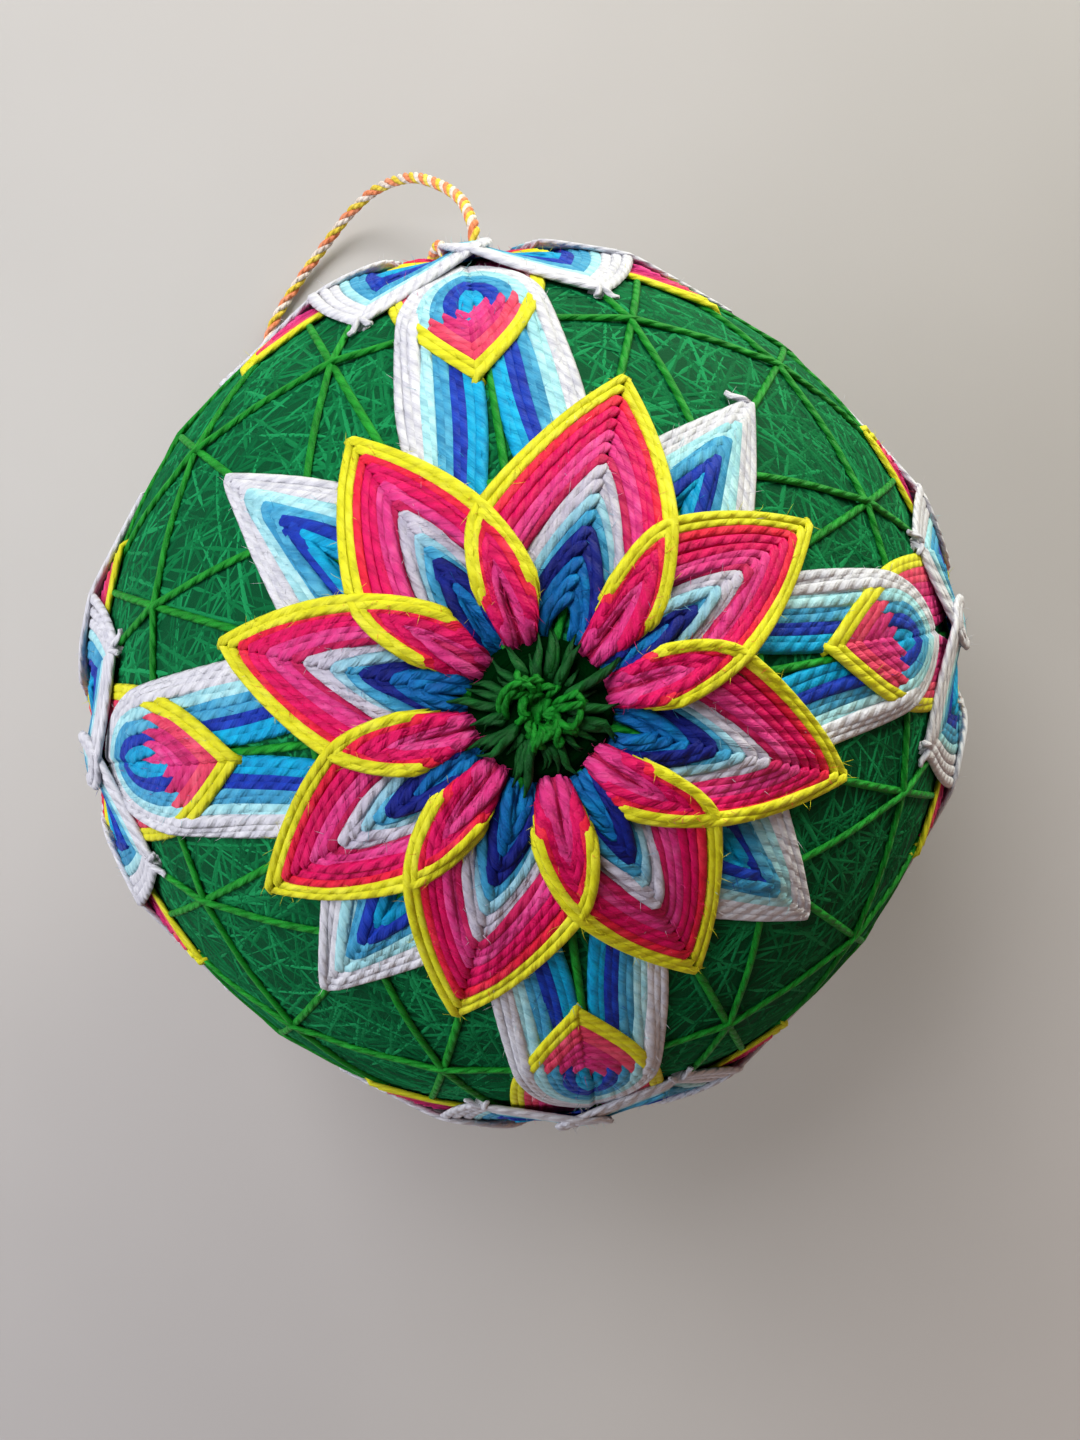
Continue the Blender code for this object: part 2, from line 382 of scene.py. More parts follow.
# Where patches and streaks turn to the dye's glow or its shade.
PATCH_GLOW = Tint(0.45, 0.75, 0.6)
PATCH_SHADE = Tint(0.5, 0.25, 0.45)
STREAK_GLOW = Tint(0.5, 0.75, 0.4)
STREAK_SHADE = Tint(0.45, 0.25, 0.32)
# The thread's relief: its depth in metres, how round a ply is, how high streaks and fuzz stand
# beside a ply, and the fuzz's noise cells for each metre.
THREAD_RELIEF = 0.00024
PLY_ROUNDNESS = 0.7
STREAK_HEIGHT = 0.9
FUZZ_HEIGHT = 0.4
FUZZ_SCALE = 6500.0


@dataclass(frozen=True)
class ThreadFinish:
    """A dyed two-ply thread: twisted plies, fine fibres, uneven dye, and painted shade in its grooves."""

    name: str
    colour: str
    shade: str
    glow: str
    lay_length: float = 3.4
    plies: int = 2
    roughness: float = 0.6
    sheen: float = 0.07
    relief: float = 0.75
    # How far the grooves between plies are painted toward the shade colour, as painted shade.
    groove_shade: float = 0.2
    gloss: float = 0.15

    def material(self) -> bpy.types.Material:
        """The thread's material, made once. It reads the mesh's thread UV map and strand value.

        A ply is highest where the cosine of plies times the turn about the thread is 1. The turn
        is the place around the thread less the place along it over the lay length. Where a ply is
        lowest, between the plies, the colour is painted toward the shade colour as painted shade.

        Returns:
            The material.
        """
        known = bpy.data.materials.get(self.name)
        if known is not None:
            return known
        nodes = Nodes(self.name)
        parts = nodes.add("SeparateXYZ", {0: nodes.add("UVMap", uv_map="thread").outputs[0]})
        along, around = parts.outputs[0], parts.outputs[1]
        strand = nodes.add("Attribute", attribute_name="strand").outputs["Fac"]
        turns = nodes.math("SUBTRACT", around, nodes.math("DIVIDE", along, self.lay_length))
        phase = nodes.math("MULTIPLY", turns, 2.0 * math.pi * self.plies)
        ply = nodes.math("MULTIPLY_ADD", nodes.math("COSINE", phase), 0.5, 0.5)
        streak = STREAKS.value(nodes, along, turns, strand)
        patch = PATCHES.value(nodes, along, around, strand)
        fuzz = nodes.noise(nodes.add("TexCoord").outputs["Object"], FUZZ_SCALE)
        tone, shade, glow = (linear_colour(c) for c in (self.colour, self.shade, self.glow))
        for tint, colour, value in (
            (PATCH_GLOW, glow, patch),
            (PATCH_SHADE, shade, patch),
            (STREAK_GLOW, glow, streak),
            (STREAK_SHADE, shade, streak),
            # Painted shade: darker toward the shade colour between the plies.
            (Tint(0.5, 0.0, self.groove_shade), shade, ply),
        ):
            tone = tint.over(nodes, tone, colour, value)
        twist = nodes.math("MULTIPLY_ADD", streak, STREAK_HEIGHT, nodes.math("POWER", ply, PLY_ROUNDNESS))
        height = nodes.math("MULTIPLY_ADD", fuzz, FUZZ_HEIGHT, twist)
        bump = nodes.add("Bump", {"Strength": self.relief, "Distance": THREAD_RELIEF, "Height": height})
        return nodes.finish(
            {
                "Base Color": tone,
                "Roughness": self.roughness,
                "Specular IOR Level": self.gloss,
                "Sheen Weight": self.sheen,
                "Sheen Roughness": 0.4,
                "Sheen Tint": (*glow, 1.0),
                "Normal": bump.outputs[0],
            }
        )


YELLOW = ThreadFinish("yellow_thread", "CCCA1C", "9C940C", "DCDA44", relief=0.5, groove_shade=0.1)
CORAL = ThreadFinish("coral_thread", "D81638", "A00828", "EA3C54")
CRIMSON = ThreadFinish("crimson_thread", "CA0255", "8E0030", "DC1A66")
ROSE = ThreadFinish("rose_thread", "B4124E", "7E0434", "C8346E")
LIGHT_PINK = ThreadFinish("light_pink_thread", "CC2E7A", "9A144A", "E05C9C")
BLUSH = ThreadFinish("blush_thread", "D23A5C", "A21C3C", "E6647C")
CERISE = ThreadFinish("cerise_thread", "BE2266", "880C40", "D84A86")
WHITE = ThreadFinish("white_thread", "C6C7D0", "9E9FB0", "DCDDE4")
PALE = ThreadFinish("pale_thread", "B4B0C0", "88849C", "CAC6D4")
MIST = ThreadFinish("mist_thread", "84B4C8", "5486A0", "A6D0DE")
AQUA = ThreadFinish("aqua_thread", "96CCD6", "5C98AA", "BCE4E8")
SKY = ThreadFinish("sky_thread", "348EBA", "185C86", "62B4D2")
ROYAL = ThreadFinish("royal_thread", "0C2E9E", "061460", "1C4ABC")
# A deeper royal blue for the front upper flower: partly the thread's own colour, partly painted shade beside
# the bundles.
SHADED_NAVY = ThreadFinish("shaded_navy_thread", "0A1670", "040A3C", "182E92")
TURQUOISE = ThreadFinish("turquoise_thread", "0092C4", "005C90", "04AEDC")
# A deeper blue for the front upper flower's first rows: partly the thread's own colour, partly painted shade
# beside the bundles.
SHADED_AZURE = ThreadFinish("shaded_azure_thread", "045EA4", "023670", "0C86C2")
MARKING_GREEN = ThreadFinish("marking_green_thread", "0C7E20", "045210", "209E30")
# The spokes' green: the marking green painted darker, as painted shade where the spokes sink among the
# bundles.
SHADED_CENTRE_GREEN = ThreadFinish("shaded_centre_green_thread", "08461A", "032A0E", "106E26", lay_length=3.0)
KNOT_GREEN = ThreadFinish("knot_green_thread", "087018", "03400C", "14982A", lay_length=2.0)
# Painted shade: a near-black green for the disc under the centre stitches, where shade falls between them.
CENTRE_SHADOW = ThreadFinish(
    "centre_shadow_thread", "011C06", "001004", "02280A", roughness=1.0, sheen=0.0, gloss=0.0
)
CORD_PLIES = (
    ThreadFinish("cord_yellow_ply", "E2C83C", "9A7E1C", "F2E27A", lay_length=1.6),
    ThreadFinish("cord_cream_ply", "E4D8CC", "A8988C", "F6F0E8", lay_length=1.6),
    ThreadFinish("cord_coral_ply", "E88A5C", "A4502C", "F4B090", lay_length=1.6),
)


@dataclass(frozen=True)
class Thread:
    """The size of a thread and how it settles on what lies under it.

    Its middle lies a rise above the highest point within its grip, and it covers its footprint up
    to a cover above its middle. A pile that is already higher than firm gives way: each thread
    adds less, falling off by e for each soft millimetres. Pulled tight, the thread bridges hollows
    up to twice its span across. Unevenness is how much threads differ in size. The ring at an end
    has the share end_size of the full size, and a point begins with the share point_size.
    """

    half_width: float = 0.56
    half_height: float = 0.26
    footprint: float = 0.17
    grip: float = 0.07
    rise: float = 0.13
    cover: float = 0.15
    firm: float = 0.45
    soft: float = 0.55
    mesh_step: float = 1.0
    sides: int = 6
    span: float = 5.6
    unevenness: float = 0.03
    end_size: float = 0.7
    point_size: float = 0.2

    def section(self, taper: Array) -> Array:
        """Half width and half height at each point, for its share of the full size."""
        return taper[:, None] * np.array([self.half_width, self.half_height])


class Ends(NamedTuple):
    """How a thread's first and last end go down: over what length, how far, and how long a point."""

    dives: tuple[float, float]
    drops: tuple[float, float] = (0.5, 0.5)
    points: tuple[float, float] = (0.0, 0.0)


EMBROIDERY = Thread()
EMBROIDERY_EDGE = Thread(half_width=0.47, half_height=0.27)
RAISED = Thread(half_width=0.46, firm=1.4, soft=0.7)
RAISED_EDGE = Thread(half_width=0.41, half_height=0.28, firm=1.4, soft=0.7)
WIDE_RAISED = Thread(half_width=0.66, half_height=0.28, firm=1.4, soft=0.7)
WIDE_RAISED_EDGE = Thread(half_width=0.62, half_height=0.3, firm=1.4, soft=0.7)
MARKING = Thread(
    half_width=0.35,
    half_height=0.27,
    rise=0.12,
    cover=0.12,
    firm=0.2,
    soft=0.2,
    mesh_step=1.5,
    span=1.0,
)
TAIL = Thread(half_width=0.33, half_height=0.26, firm=2.0, mesh_step=0.5)
SPOKE = Thread(half_width=0.37, half_height=0.3, firm=2.0, mesh_step=0.6)
KNOT_LOOP = Thread(half_width=0.27, half_height=0.23, footprint=0.12, firm=1.7, soft=0.3, mesh_step=0.36)
TAIL_ENDS = Ends((0.5, 0.5), (0.1, -0.25))
SPOKE_ENDS = Ends((0.8, 0.8), (0.3, 0.5), (2.2, 0.0))
KNOT_ENDS = Ends((0.6, 0.6), (0.45, 0.45))


class Relief:
    """How high the threads stand over the ball, on a map of six square faces of even cells.

    CELLS is their number along a face's side. A laid line has a point at each STEP, and is read and
    kept at OFFSETS across it. It is pulled taut over REACHES, counted in steps, PASSES times over,
    and then smoothed over SMOOTHING points to each side.
    """

    CELLS = 760
    STEP = 0.14
    OFFSETS = np.linspace(-1.0, 1.0, 5)
    REACHES = (40, 28, 20, 14, 10, 7, 5, 3, 2, 1)
    PASSES = 3
    SMOOTHING = 3

    def __init__(self) -> None:
        """Starts with a bare ball."""
        self.heights = np.zeros(6 * self.CELLS * self.CELLS)

    def cells(self, directions: Array) -> Array:
        """The map's cell under each direction.

        The face is that of the largest coordinate, and the cell's row and column are even in the
        angle whose tangent is the other coordinate over the largest.

        Args:
            directions: vectors from the ball's middle.

        Returns:
            The cells' numbers.
        """
        main = np.argmax(np.abs(directions), axis=-1)

        def part(step: int) -> Array:
            """The coordinate that many axes after the largest one."""
            return np.take_along_axis(directions, ((main + step) % 3)[..., None], axis=-1)[..., 0]

        largest, first, second = part(0), part(1), part(2)
        face = 2 * main + (largest < 0)
        spread = [np.arctan(side / np.abs(largest)) * 4.0 / math.pi for side in (first, second)]
        row, column = (
            np.clip(((value + 1.0) / 2.0 * self.CELLS).astype(int), 0, self.CELLS - 1) for value in spread
        )
        return (face * self.CELLS + row) * self.CELLS + column

    def pull_taut(self, heights: Array, span: float) -> Array:
        """A thread's heights once it is pulled tight between the humps it rests on.

        Where the straight line between two points at an even reach passes higher, the thread is
        lifted to it. Seen from the ball the line sags by half its reach squared over the radius.

        Args:
            heights: the highest point under the thread, at each step along it.
            span: half the width of the widest hollow that it bridges.

        Returns:
            The thread's heights at the same steps.
        """
        lifted = heights.copy()
        for _ in range(self.PASSES):
            for reach in self.REACHES:
                if 2 * reach >= len(lifted) or reach * self.STEP > span:
                    continue
                sag = (reach * self.STEP) ** 2 / (2.0 * BALL_RADIUS)
                line = (lifted[: -2 * reach] + lifted[2 * reach :]) / 2.0 - sag
                lifted[reach:-reach] = np.maximum(lifted[reach:-reach], line)
        return lifted

    def lay(self, directions: Array, beside: Array, thread: Thread, ends: Ends | None) -> Array:
        """Lays a thread and keeps how high it stands.

        The thread rests on the highest point under its width, pulled taut. At both ends it dives.

        Args:
            directions: unit vectors along the thread at an even step.
            beside: unit vectors across the thread.
            thread: its size.
            ends: how its ends go down, or None for a closed ring.

        Returns:
            The height of the thread's middle over the ball at each point.
        """
        aside = self.OFFSETS[None, :, None] * beside[:, None, :] / BALL_RADIUS
        under = self.cells(directions[:, None, :] + thread.grip * aside)
        taut = self.pull_taut(self.heights[under].max(axis=1), thread.span)
        near = np.pad(taut, self.SMOOTHING, mode="wrap" if ends is None else "edge")
        kernel = np.full(2 * self.SMOOTHING + 1, 1.0 / (2 * self.SMOOTHING + 1))
        middle = np.convolve(near, kernel, mode="valid")
        give = np.exp(-np.maximum(middle - thread.firm, 0.0) / thread.soft)
        middle = middle + thread.rise * give
        if ends is not None:
            along = np.arange(len(middle)) * self.STEP
            for distance, dive, drop in zip((along, along[::-1]), ends.dives, ends.drops):
                middle = middle - drop * (1.0 - smooth_step(distance / dive))
        covered = self.cells(directions[:, None, :] + thread.footprint * aside)
        self.raise_to(covered, np.broadcast_to((middle + thread.cover * give)[:, None], covered.shape))
        return middle

    def raise_to(self, cells: Array, heights: Array) -> None:
        """Raises cells to the given heights where they stand lower."""
        np.maximum.at(self.heights, cells, heights)


@dataclass(frozen=True)
class Fibres:
    """The loose fibres of a thread, each a thin spike with one elbow.

    A fibre leaves the thread's section within the widest turn from its top, in radians, at a share
    of the section's size. It heads outward and leans along the thread by shares of a unit vector.
    Its end is bent aside by a share of its length, and its elbow has shares of the length, the
    bend and the radius.
    """

    radius: float = 0.022
    lengths: tuple[float, float] = (0.4, 1.3)
    widest_turn: float = 1.3
    root: float = 0.9
    outward: tuple[float, float] = (0.2, 0.9)
    lean: float = 1.0
    bend: float = 0.35
    elbow_length: float = 0.55
    elbow_bend: float = 0.25
    elbow_radius: float = 0.8


FIBRES = Fibres()
# Two rings of three points, and a tip.
FIBRE_POINTS = 7


class Strand(NamedTuple):
    """What sets one thread of a mesh apart: its material's number, and a value from 0 to 1."""

    finish: int
    value: float


@dataclass
class Surface:
    """Gathers tubes and other grids of points, and writes them as one mesh."""

    points: list[Array] = field(default_factory=list)
    strands: list[Array] = field(default_factory=list)
    faces: list[Array] = field(default_factory=list)
    places: list[Array] = field(default_factory=list)
    finishes: list[Array] = field(default_factory=list)
    lines: list[tuple[Array, Array, Array, Array]] = field(default_factory=list)
    total: int = 0

    def add(self, grid: Array, along: Array, around: Array, strand: Strand, ring: bool) -> Array:
        """Adds a grid of points with its faces, each row joined to the next.

        Args:
            grid: points, rows by columns by 3.
            along: the thread UV map's u of each row.
            around: its v of each column, and of the first one again if the grid is a ring.
            strand: the thread that the grid belongs to.
            ring: whether the last column joins the first.

        Returns:
            The point numbers, rows by columns.
        """
        rows, columns = grid.shape[:2]
        numbers = np.arange(rows * columns).reshape(rows, columns) + self.total
        wrapped = np.concatenate([numbers, numbers[:, :1]], axis=1) if ring else numbers
        across, down = np.meshgrid(around, along)
        chart = np.stack([down, across], axis=-1)
        quads, spots = (
            np.stack([part[:-1, :-1], part[1:, :-1], part[1:, 1:], part[:-1, 1:]], axis=2)
            for part in (wrapped, chart)
        )
        self.take(grid.reshape(-1, 3), quads.reshape(-1, 4), spots.reshape(-1, 4, 2), strand)
        return numbers

    def close(self, ring: Array, middle: Array, place: float, strand: Strand) -> None:
        """Closes a ring of points with a fan around its middle.

        Args:
            ring: the point numbers, in the order that faces outward.
            middle: the fan's middle point.
            place: the thread UV map's u of the whole fan.
            strand: the thread that the fan belongs to.
        """
        hub = np.full(len(ring), self.total)
        fan = np.stack([hub, ring, np.roll(ring, -1)], axis=-1)
        share = np.arange(len(ring)) / len(ring)
        spot = np.stack([share + 0.5 / len(ring), share, share + 1.0 / len(ring)], axis=-1)
        self.take(middle[None, :], fan, np.stack([np.full_like(spot, place), spot], axis=-1), strand)

    def take(self, points: Array, faces: Array, places: Array, strand: Strand) -> None:
        """Takes in points with their faces and each face's places on the thread UV map.

        Args:
            points: the new points.
            faces: the point numbers of each face.
            places: u and v at each face's corners.
            strand: the thread that they belong to.
        """
        self.points.append(points)
        self.strands.append(np.full(len(points), strand.value))
        self.faces.append(faces)
        self.places.append(places)
        self.finishes.append(np.full(len(faces), strand.finish))
        self.total += len(points)

    def tube(
        self,
        centres: Array,
        outward: Array,
        sizes: Array,
        sides: int,
        strand: Strand,
        ring: bool = False,
    ) -> None:
        """Adds a tube with an oval section along a line of points.

        A section point is centre + width cos(turn) beside + height sin(turn) up, where beside is
        the line's direction crossed with outward.

        Args:
            centres: points along the line.
            outward: a vector near each section's upward direction.
            sizes: half width and half height at each point.
            sides: number of sides.
            strand: the thread that the tube is.
            ring: whether the tube closes on itself, with its last point next to its first.
        """
        if ring:
            centres, outward, sizes = (np.concatenate([part, part[:1]]) for part in (centres, outward, sizes))
        tangents = np.gradient(centres, axis=0)
        if ring:
            tangents[0] = tangents[-1] = centres[1] - centres[-2]
        tangents = unit(tangents)
        beside = unit(np.cross(tangents, outward))
        upward = np.cross(beside, tangents)
        turn = np.arange(sides) * 2.0 * math.pi / sides
        grid = (
            centres[:, None, :]
            + (sizes[:, :1] * np.cos(turn))[..., None] * beside[:, None, :]
            + (sizes[:, 1:] * np.sin(turn))[..., None] * upward[:, None, :]
        )
        inner = slice(1, -1)
        frames = np.stack([tangents, beside, upward], axis=1)
        dyes = np.full(len(centres) - 2, strand.finish)
        self.lines.append((centres[inner], frames[inner], sizes[inner], dyes))
        gaps = np.linalg.norm(np.diff(centres, axis=0), axis=1)
        along = np.concatenate([[0.0], np.cumsum(gaps)])
        numbers = self.add(grid, along, np.arange(sides + 1) / sides, strand, ring=True)
        if not ring:
            self.close(numbers[0], centres[0], along[0], strand)
            self.close(numbers[-1][::-1], centres[-1], along[-1], strand)

    def hairs(self, count: int, random: np.random.Generator) -> None:
        """Adds loose fibres along the remembered threads, each a thin closed spike with an elbow.

        A fibre leaves the thread's oval section at a random turn from its top, and leans along the
        thread. It has a ring of three points at its root and at its elbow, and one at its end.

        Args:
            count: number of fibres.
            random: random numbers.
        """
        spots, frames, sizes, dyes = (np.concatenate(group) for group in zip(*self.lines))
        chosen = random.integers(0, len(spots), count)
        turn = random.uniform(-FIBRES.widest_turn, FIBRES.widest_turn, count)[:, None]
        tangent, beside, upward = (frames[chosen, k] for k in range(3))
        width, height = (sizes[chosen, k][:, None] for k in range(2))
        normal = np.sin(turn) * beside + np.cos(turn) * upward
        rim = np.sin(turn) * width * beside + np.cos(turn) * height * upward
        roots = spots[chosen] + FIBRES.root * rim
        outward = random.uniform(*FIBRES.outward, (count, 1))
        lean = random.uniform(-FIBRES.lean, FIBRES.lean, (count, 1))
        heading = unit(normal * outward + tangent * lean)
        length = random.uniform(*FIBRES.lengths, (count, 1))
        bend = np.cross(heading, normal) * random.normal(0.0, FIBRES.bend, (count, 1)) * length
        first = unit(np.cross(heading, tangent + 0.3 * normal))
        second = np.cross(heading, first)
        around = np.radians([0.0, 120.0, 240.0])[:, None, None]
        ring = FIBRES.radius * (np.cos(around) * first + np.sin(around) * second)
        elbow = roots + heading * length * FIBRES.elbow_length + bend * FIBRES.elbow_bend
        end = roots + heading * length + bend
        points = np.concatenate([roots + ring, elbow + FIBRES.elbow_radius * ring, end[None]])
        points = points.transpose(1, 0, 2)
        points[..., 2] = np.maximum(points[..., 2], FIBRES.radius)
        numbers = self.total + FIBRE_POINTS * np.arange(count)[:, None, None]
        quads = numbers + np.array([[0, 1, 4, 3], [1, 2, 5, 4], [2, 0, 3, 5]])
        corners = numbers + np.array([[3, 4, 6], [4, 5, 6], [5, 3, 6], [2, 1, 0]])
        for group in (quads, corners):
            faces = group.reshape(-1, group.shape[-1])
            self.faces.append(faces)
            self.places.append(np.zeros((len(faces), faces.shape[1], 2)))
            self.finishes.append(np.repeat(dyes[chosen], group.shape[1]))
        self.points.append(points.reshape(-1, 3))
        self.strands.append(np.full(FIBRE_POINTS * count, 0.5))
        self.total += FIBRE_POINTS * count

    def write(self, name: str, materials: list[bpy.types.Material]) -> bpy.types.Object:
        """Writes the mesh and links its object at the origin.

        Args:
            name: the piece's name.
            materials: the materials by number.

        Returns:
            The object.
        """
        corners = np.concatenate([group.reshape(-1) for group in self.faces])
        sizes = np.concatenate([np.full(len(group), group.shape[1]) for group in self.faces])
        mesh = bpy.data.meshes.new(name)
        mesh.vertices.add(self.total)
        mesh.loops.add(len(corners))
        mesh.polygons.add(len(sizes))
        mesh.vertices.foreach_set("co", (np.concatenate(self.points) * MM).astype(np.float32).ravel())
        mesh.loops.foreach_set("vertex_index", corners.astype(np.int32))
        mesh.polygons.foreach_set("loop_start", (np.cumsum(sizes) - sizes).astype(np.int32))
        mesh.polygons.foreach_set("loop_total", sizes.astype(np.int32))
        mesh.polygons.foreach_set("material_index", np.concatenate(self.finishes).astype(np.int32))
        mesh.polygons.foreach_set("use_smooth", np.ones(len(sizes), bool))
        places = np.concatenate([group.reshape(-1, 2) for group in self.places])
        mesh.uv_layers.new(name="thread").data.foreach_set("uv", places.astype(np.float32).ravel())
        strand = mesh.attributes.new("strand", "FLOAT", "POINT")
        strand.data.foreach_set("value", np.concatenate(self.strands).astype(np.float32))
        mesh.update(calc_edges=True)
        mesh.validate()
        for material in materials:
            mesh.materials.append(material)
        made = bpy.data.objects.new(name, mesh)
        bpy.context.scene.collection.objects.link(made)
        return made


def settle(piece: bpy.types.Object, slot: Slot, *nodes: str) -> None:
    """Makes a piece ride on the ball's body and hides the solids that it stands for.

    Args:
        piece: the piece.
        slot: not used.
        nodes: the solids that it stands for, if any.
    """
    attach(piece, "root")
    if nodes:
        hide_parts(*nodes)
    LOG.info("%s: %d points, %d faces", piece.name, len(piece.data.vertices), len(piece.data.polygons))


@dataclass(frozen=True)
class Petal:
    """One petal of a flower: where its first and last rows' tips lie, and their half widths."""

    azimuth: float
    inner_tip: float
    outer_tip: float
    inner_width: float = 0.0
    outer_width: float = 0.0

    def tip(self, share: float) -> float:
        """The polar angle of a row's tip, for the row's share of the way out."""
        return self.inner_tip + (self.outer_tip - self.inner_tip) * share


# The polar angles between which a bundle's line goes from its inner azimuth to its outer one.
BUNDLE_ENDS = (8.0, 19.0)


@dataclass(frozen=True)
class Bundle:
    """The place where two petals' threads cross: its azimuths and the reach of its last row."""

    outer_azimuth: float
    inner_azimuth: float
    reach: float

    def azimuth(self, polar: float) -> float:
        """The azimuth of the bundle's middle line, even between its two ends."""
        return float(np.interp(polar, BUNDLE_ENDS, (self.inner_azimuth, self.outer_azimuth)))

    def place(self, across: float, polar: float) -> Array:
        """The chart point beside the bundle's middle line at a polar angle."""
        return rotated(np.array([across, polar]), self.azimuth(polar))


# How strong a thread's second wave is beside its first.
SECOND_WAVE = 0.6


@dataclass
class Stitching:
    """Threads laid about one pole, and the mesh that they go into."""

    pole: Pole
    seed: int
    surface: Surface = field(default_factory=Surface, kw_only=True)

    def __post_init__(self) -> None:
        """Starts the stitching's own random numbers."""
        self.random = np.random.default_rng(self.seed)

    def lay(
        self,
        path: Array,
        relief: Relief,
        thread: Thread,
        finish: int,
        ends: Ends,
        waver: float = 0.0,
    ) -> None:
        """Lays a thread along a chart path and adds its tube to the mesh.

        The hand's unevenness moves the path aside by waver times a sum of two sines.

        Args:
            path: chart points.
            relief: the map of what has been laid.
            thread: the thread's size.
            finish: number of the material.
            ends: how its ends go down.
            waver: size of the unevenness in millimetres.
        """
        line = resample(self.pole.directions(path) * BALL_RADIUS, relief.STEP)
        directions = unit(line)
        beside = unit(np.cross(np.gradient(directions, axis=0), directions))
        share = np.linspace(0.0, math.pi, len(line))
        amounts = self.random.normal(0.0, waver, 2)
        aside = amounts[0] * np.sin(share) + SECOND_WAVE * amounts[1] * np.sin(2.0 * share)
        directions = unit(directions + beside * (aside / BALL_RADIUS)[:, None])
        middle = relief.lay(directions, beside, thread, ends)
        count = max(4, int(round((len(line) - 1) * relief.STEP / thread.mesh_step)) + 1)
        chosen = np.linspace(0, len(line) - 1, count).round().astype(int)
        from_end = np.minimum(np.arange(count), np.arange(count)[::-1])
        taper = np.where(from_end == 0, thread.end_size, 1.0) * self.random.normal(1.0, thread.unevenness)
        along = chosen * relief.STEP
        for distance, point in zip((along, along[-1] - along), ends.points):
            if point > 0.0:
                growth = smooth_step(distance / point)
                taper = taper * (thread.point_size + (1.0 - thread.point_size) * growth)
        centres = lift(directions[chosen], middle[chosen])
        strand = Strand(finish, float(self.random.random()))
        self.surface.tube(centres, directions[chosen], thread.section(taper), thread.sides, strand)


class Tail(NamedTuple):
    """A loose end: its petal's number, its turn from the petal's direction, and its length."""

    petal: int
    turn: float
    length: float


@dataclass
class Flower(Stitching):
    """What both layers of a flower share: dyes by row, petals, and how their threads are laid.

    Tails start a little inside the last tip and curl aside by a share of their length.
    """

    dyes: tuple[ThreadFinish, ...]
    petals: tuple[Petal, ...]
    slot: Slot
    layer: ClassVar[str]
    thread: Thread = EMBROIDERY
    edge_thread: Thread = EMBROIDERY_EDGE
    edge_rows: int = 2
    waver: float = 0.07
    ends: Ends = Ends((0.5, 0.6), (0.3, 0.5))
    tails: tuple[Tail, ...] = ()
    tail_start: float = 0.4
    tail_curl: float = 0.4
    hairs: int = 300

    def __post_init__(self) -> None:
        """Starts the random numbers and lists the layer's finishes, each one once."""
        super().__post_init__()
        self.palette = list(dict.fromkeys(self.dyes))

    def share(self, row: int) -> float:
        """How far out a row is, from 0 for the first one to 1 for the last."""
        return row / (len(self.dyes) - 1)

    def paths(self, row: int) -> Iterator[Array]:
        """The chart paths of one row's threads in stitching order."""
        raise NotImplementedError

    def stitch(self, row: int, relief: Relief) -> None:
        """Lays one row's threads on the relief and adds them to the mesh.

        Args:
            row: number of the row, 0 for the innermost.
            relief: the map of what has been laid.
        """
        finish = self.palette.index(self.dyes[row])
        thread = self.edge_thread if row >= len(self.dyes) - self.edge_rows else self.thread
        for path in self.paths(row):
            self.lay(path, relief, thread, finish, self.ends, self.waver)

    def add_tails(self, relief: Relief) -> None:
        """Lays the loose ends at the tips of petals, in the last row's dye.

        Args:
            relief: the map of what has been laid.
        """
        finish = self.palette.index(self.dyes[-1])
        share = np.linspace(0.0, 1.0, 8)[:, None]
        for tail in self.tails:
            petal = self.petals[tail.petal]
            reach = rotated(np.array([0.0, tail.length]), tail.turn)
            curl = np.array([reach[1], -reach[0]]) * self.random.normal(0.0, self.tail_curl)
            start = np.array([0.0, petal.outer_tip - self.tail_start])
            line = start + reach * share + curl * share * (1.0 - share)
            self.lay(rotated(line, petal.azimuth), relief, TAIL, finish, TAIL_ENDS)

    def dress(self) -> bpy.types.Object:
        """Writes the layer's mesh in place of its solid.

        Returns:
            The piece.
        """
        self.surface.hairs(self.hairs, self.random)
        node = f"{self.pole.name}_{self.layer}"
        piece = self.surface.write(f"{node}_threads", [dye.material() for dye in self.palette])
        settle(piece, self.slot, node)
        return piece


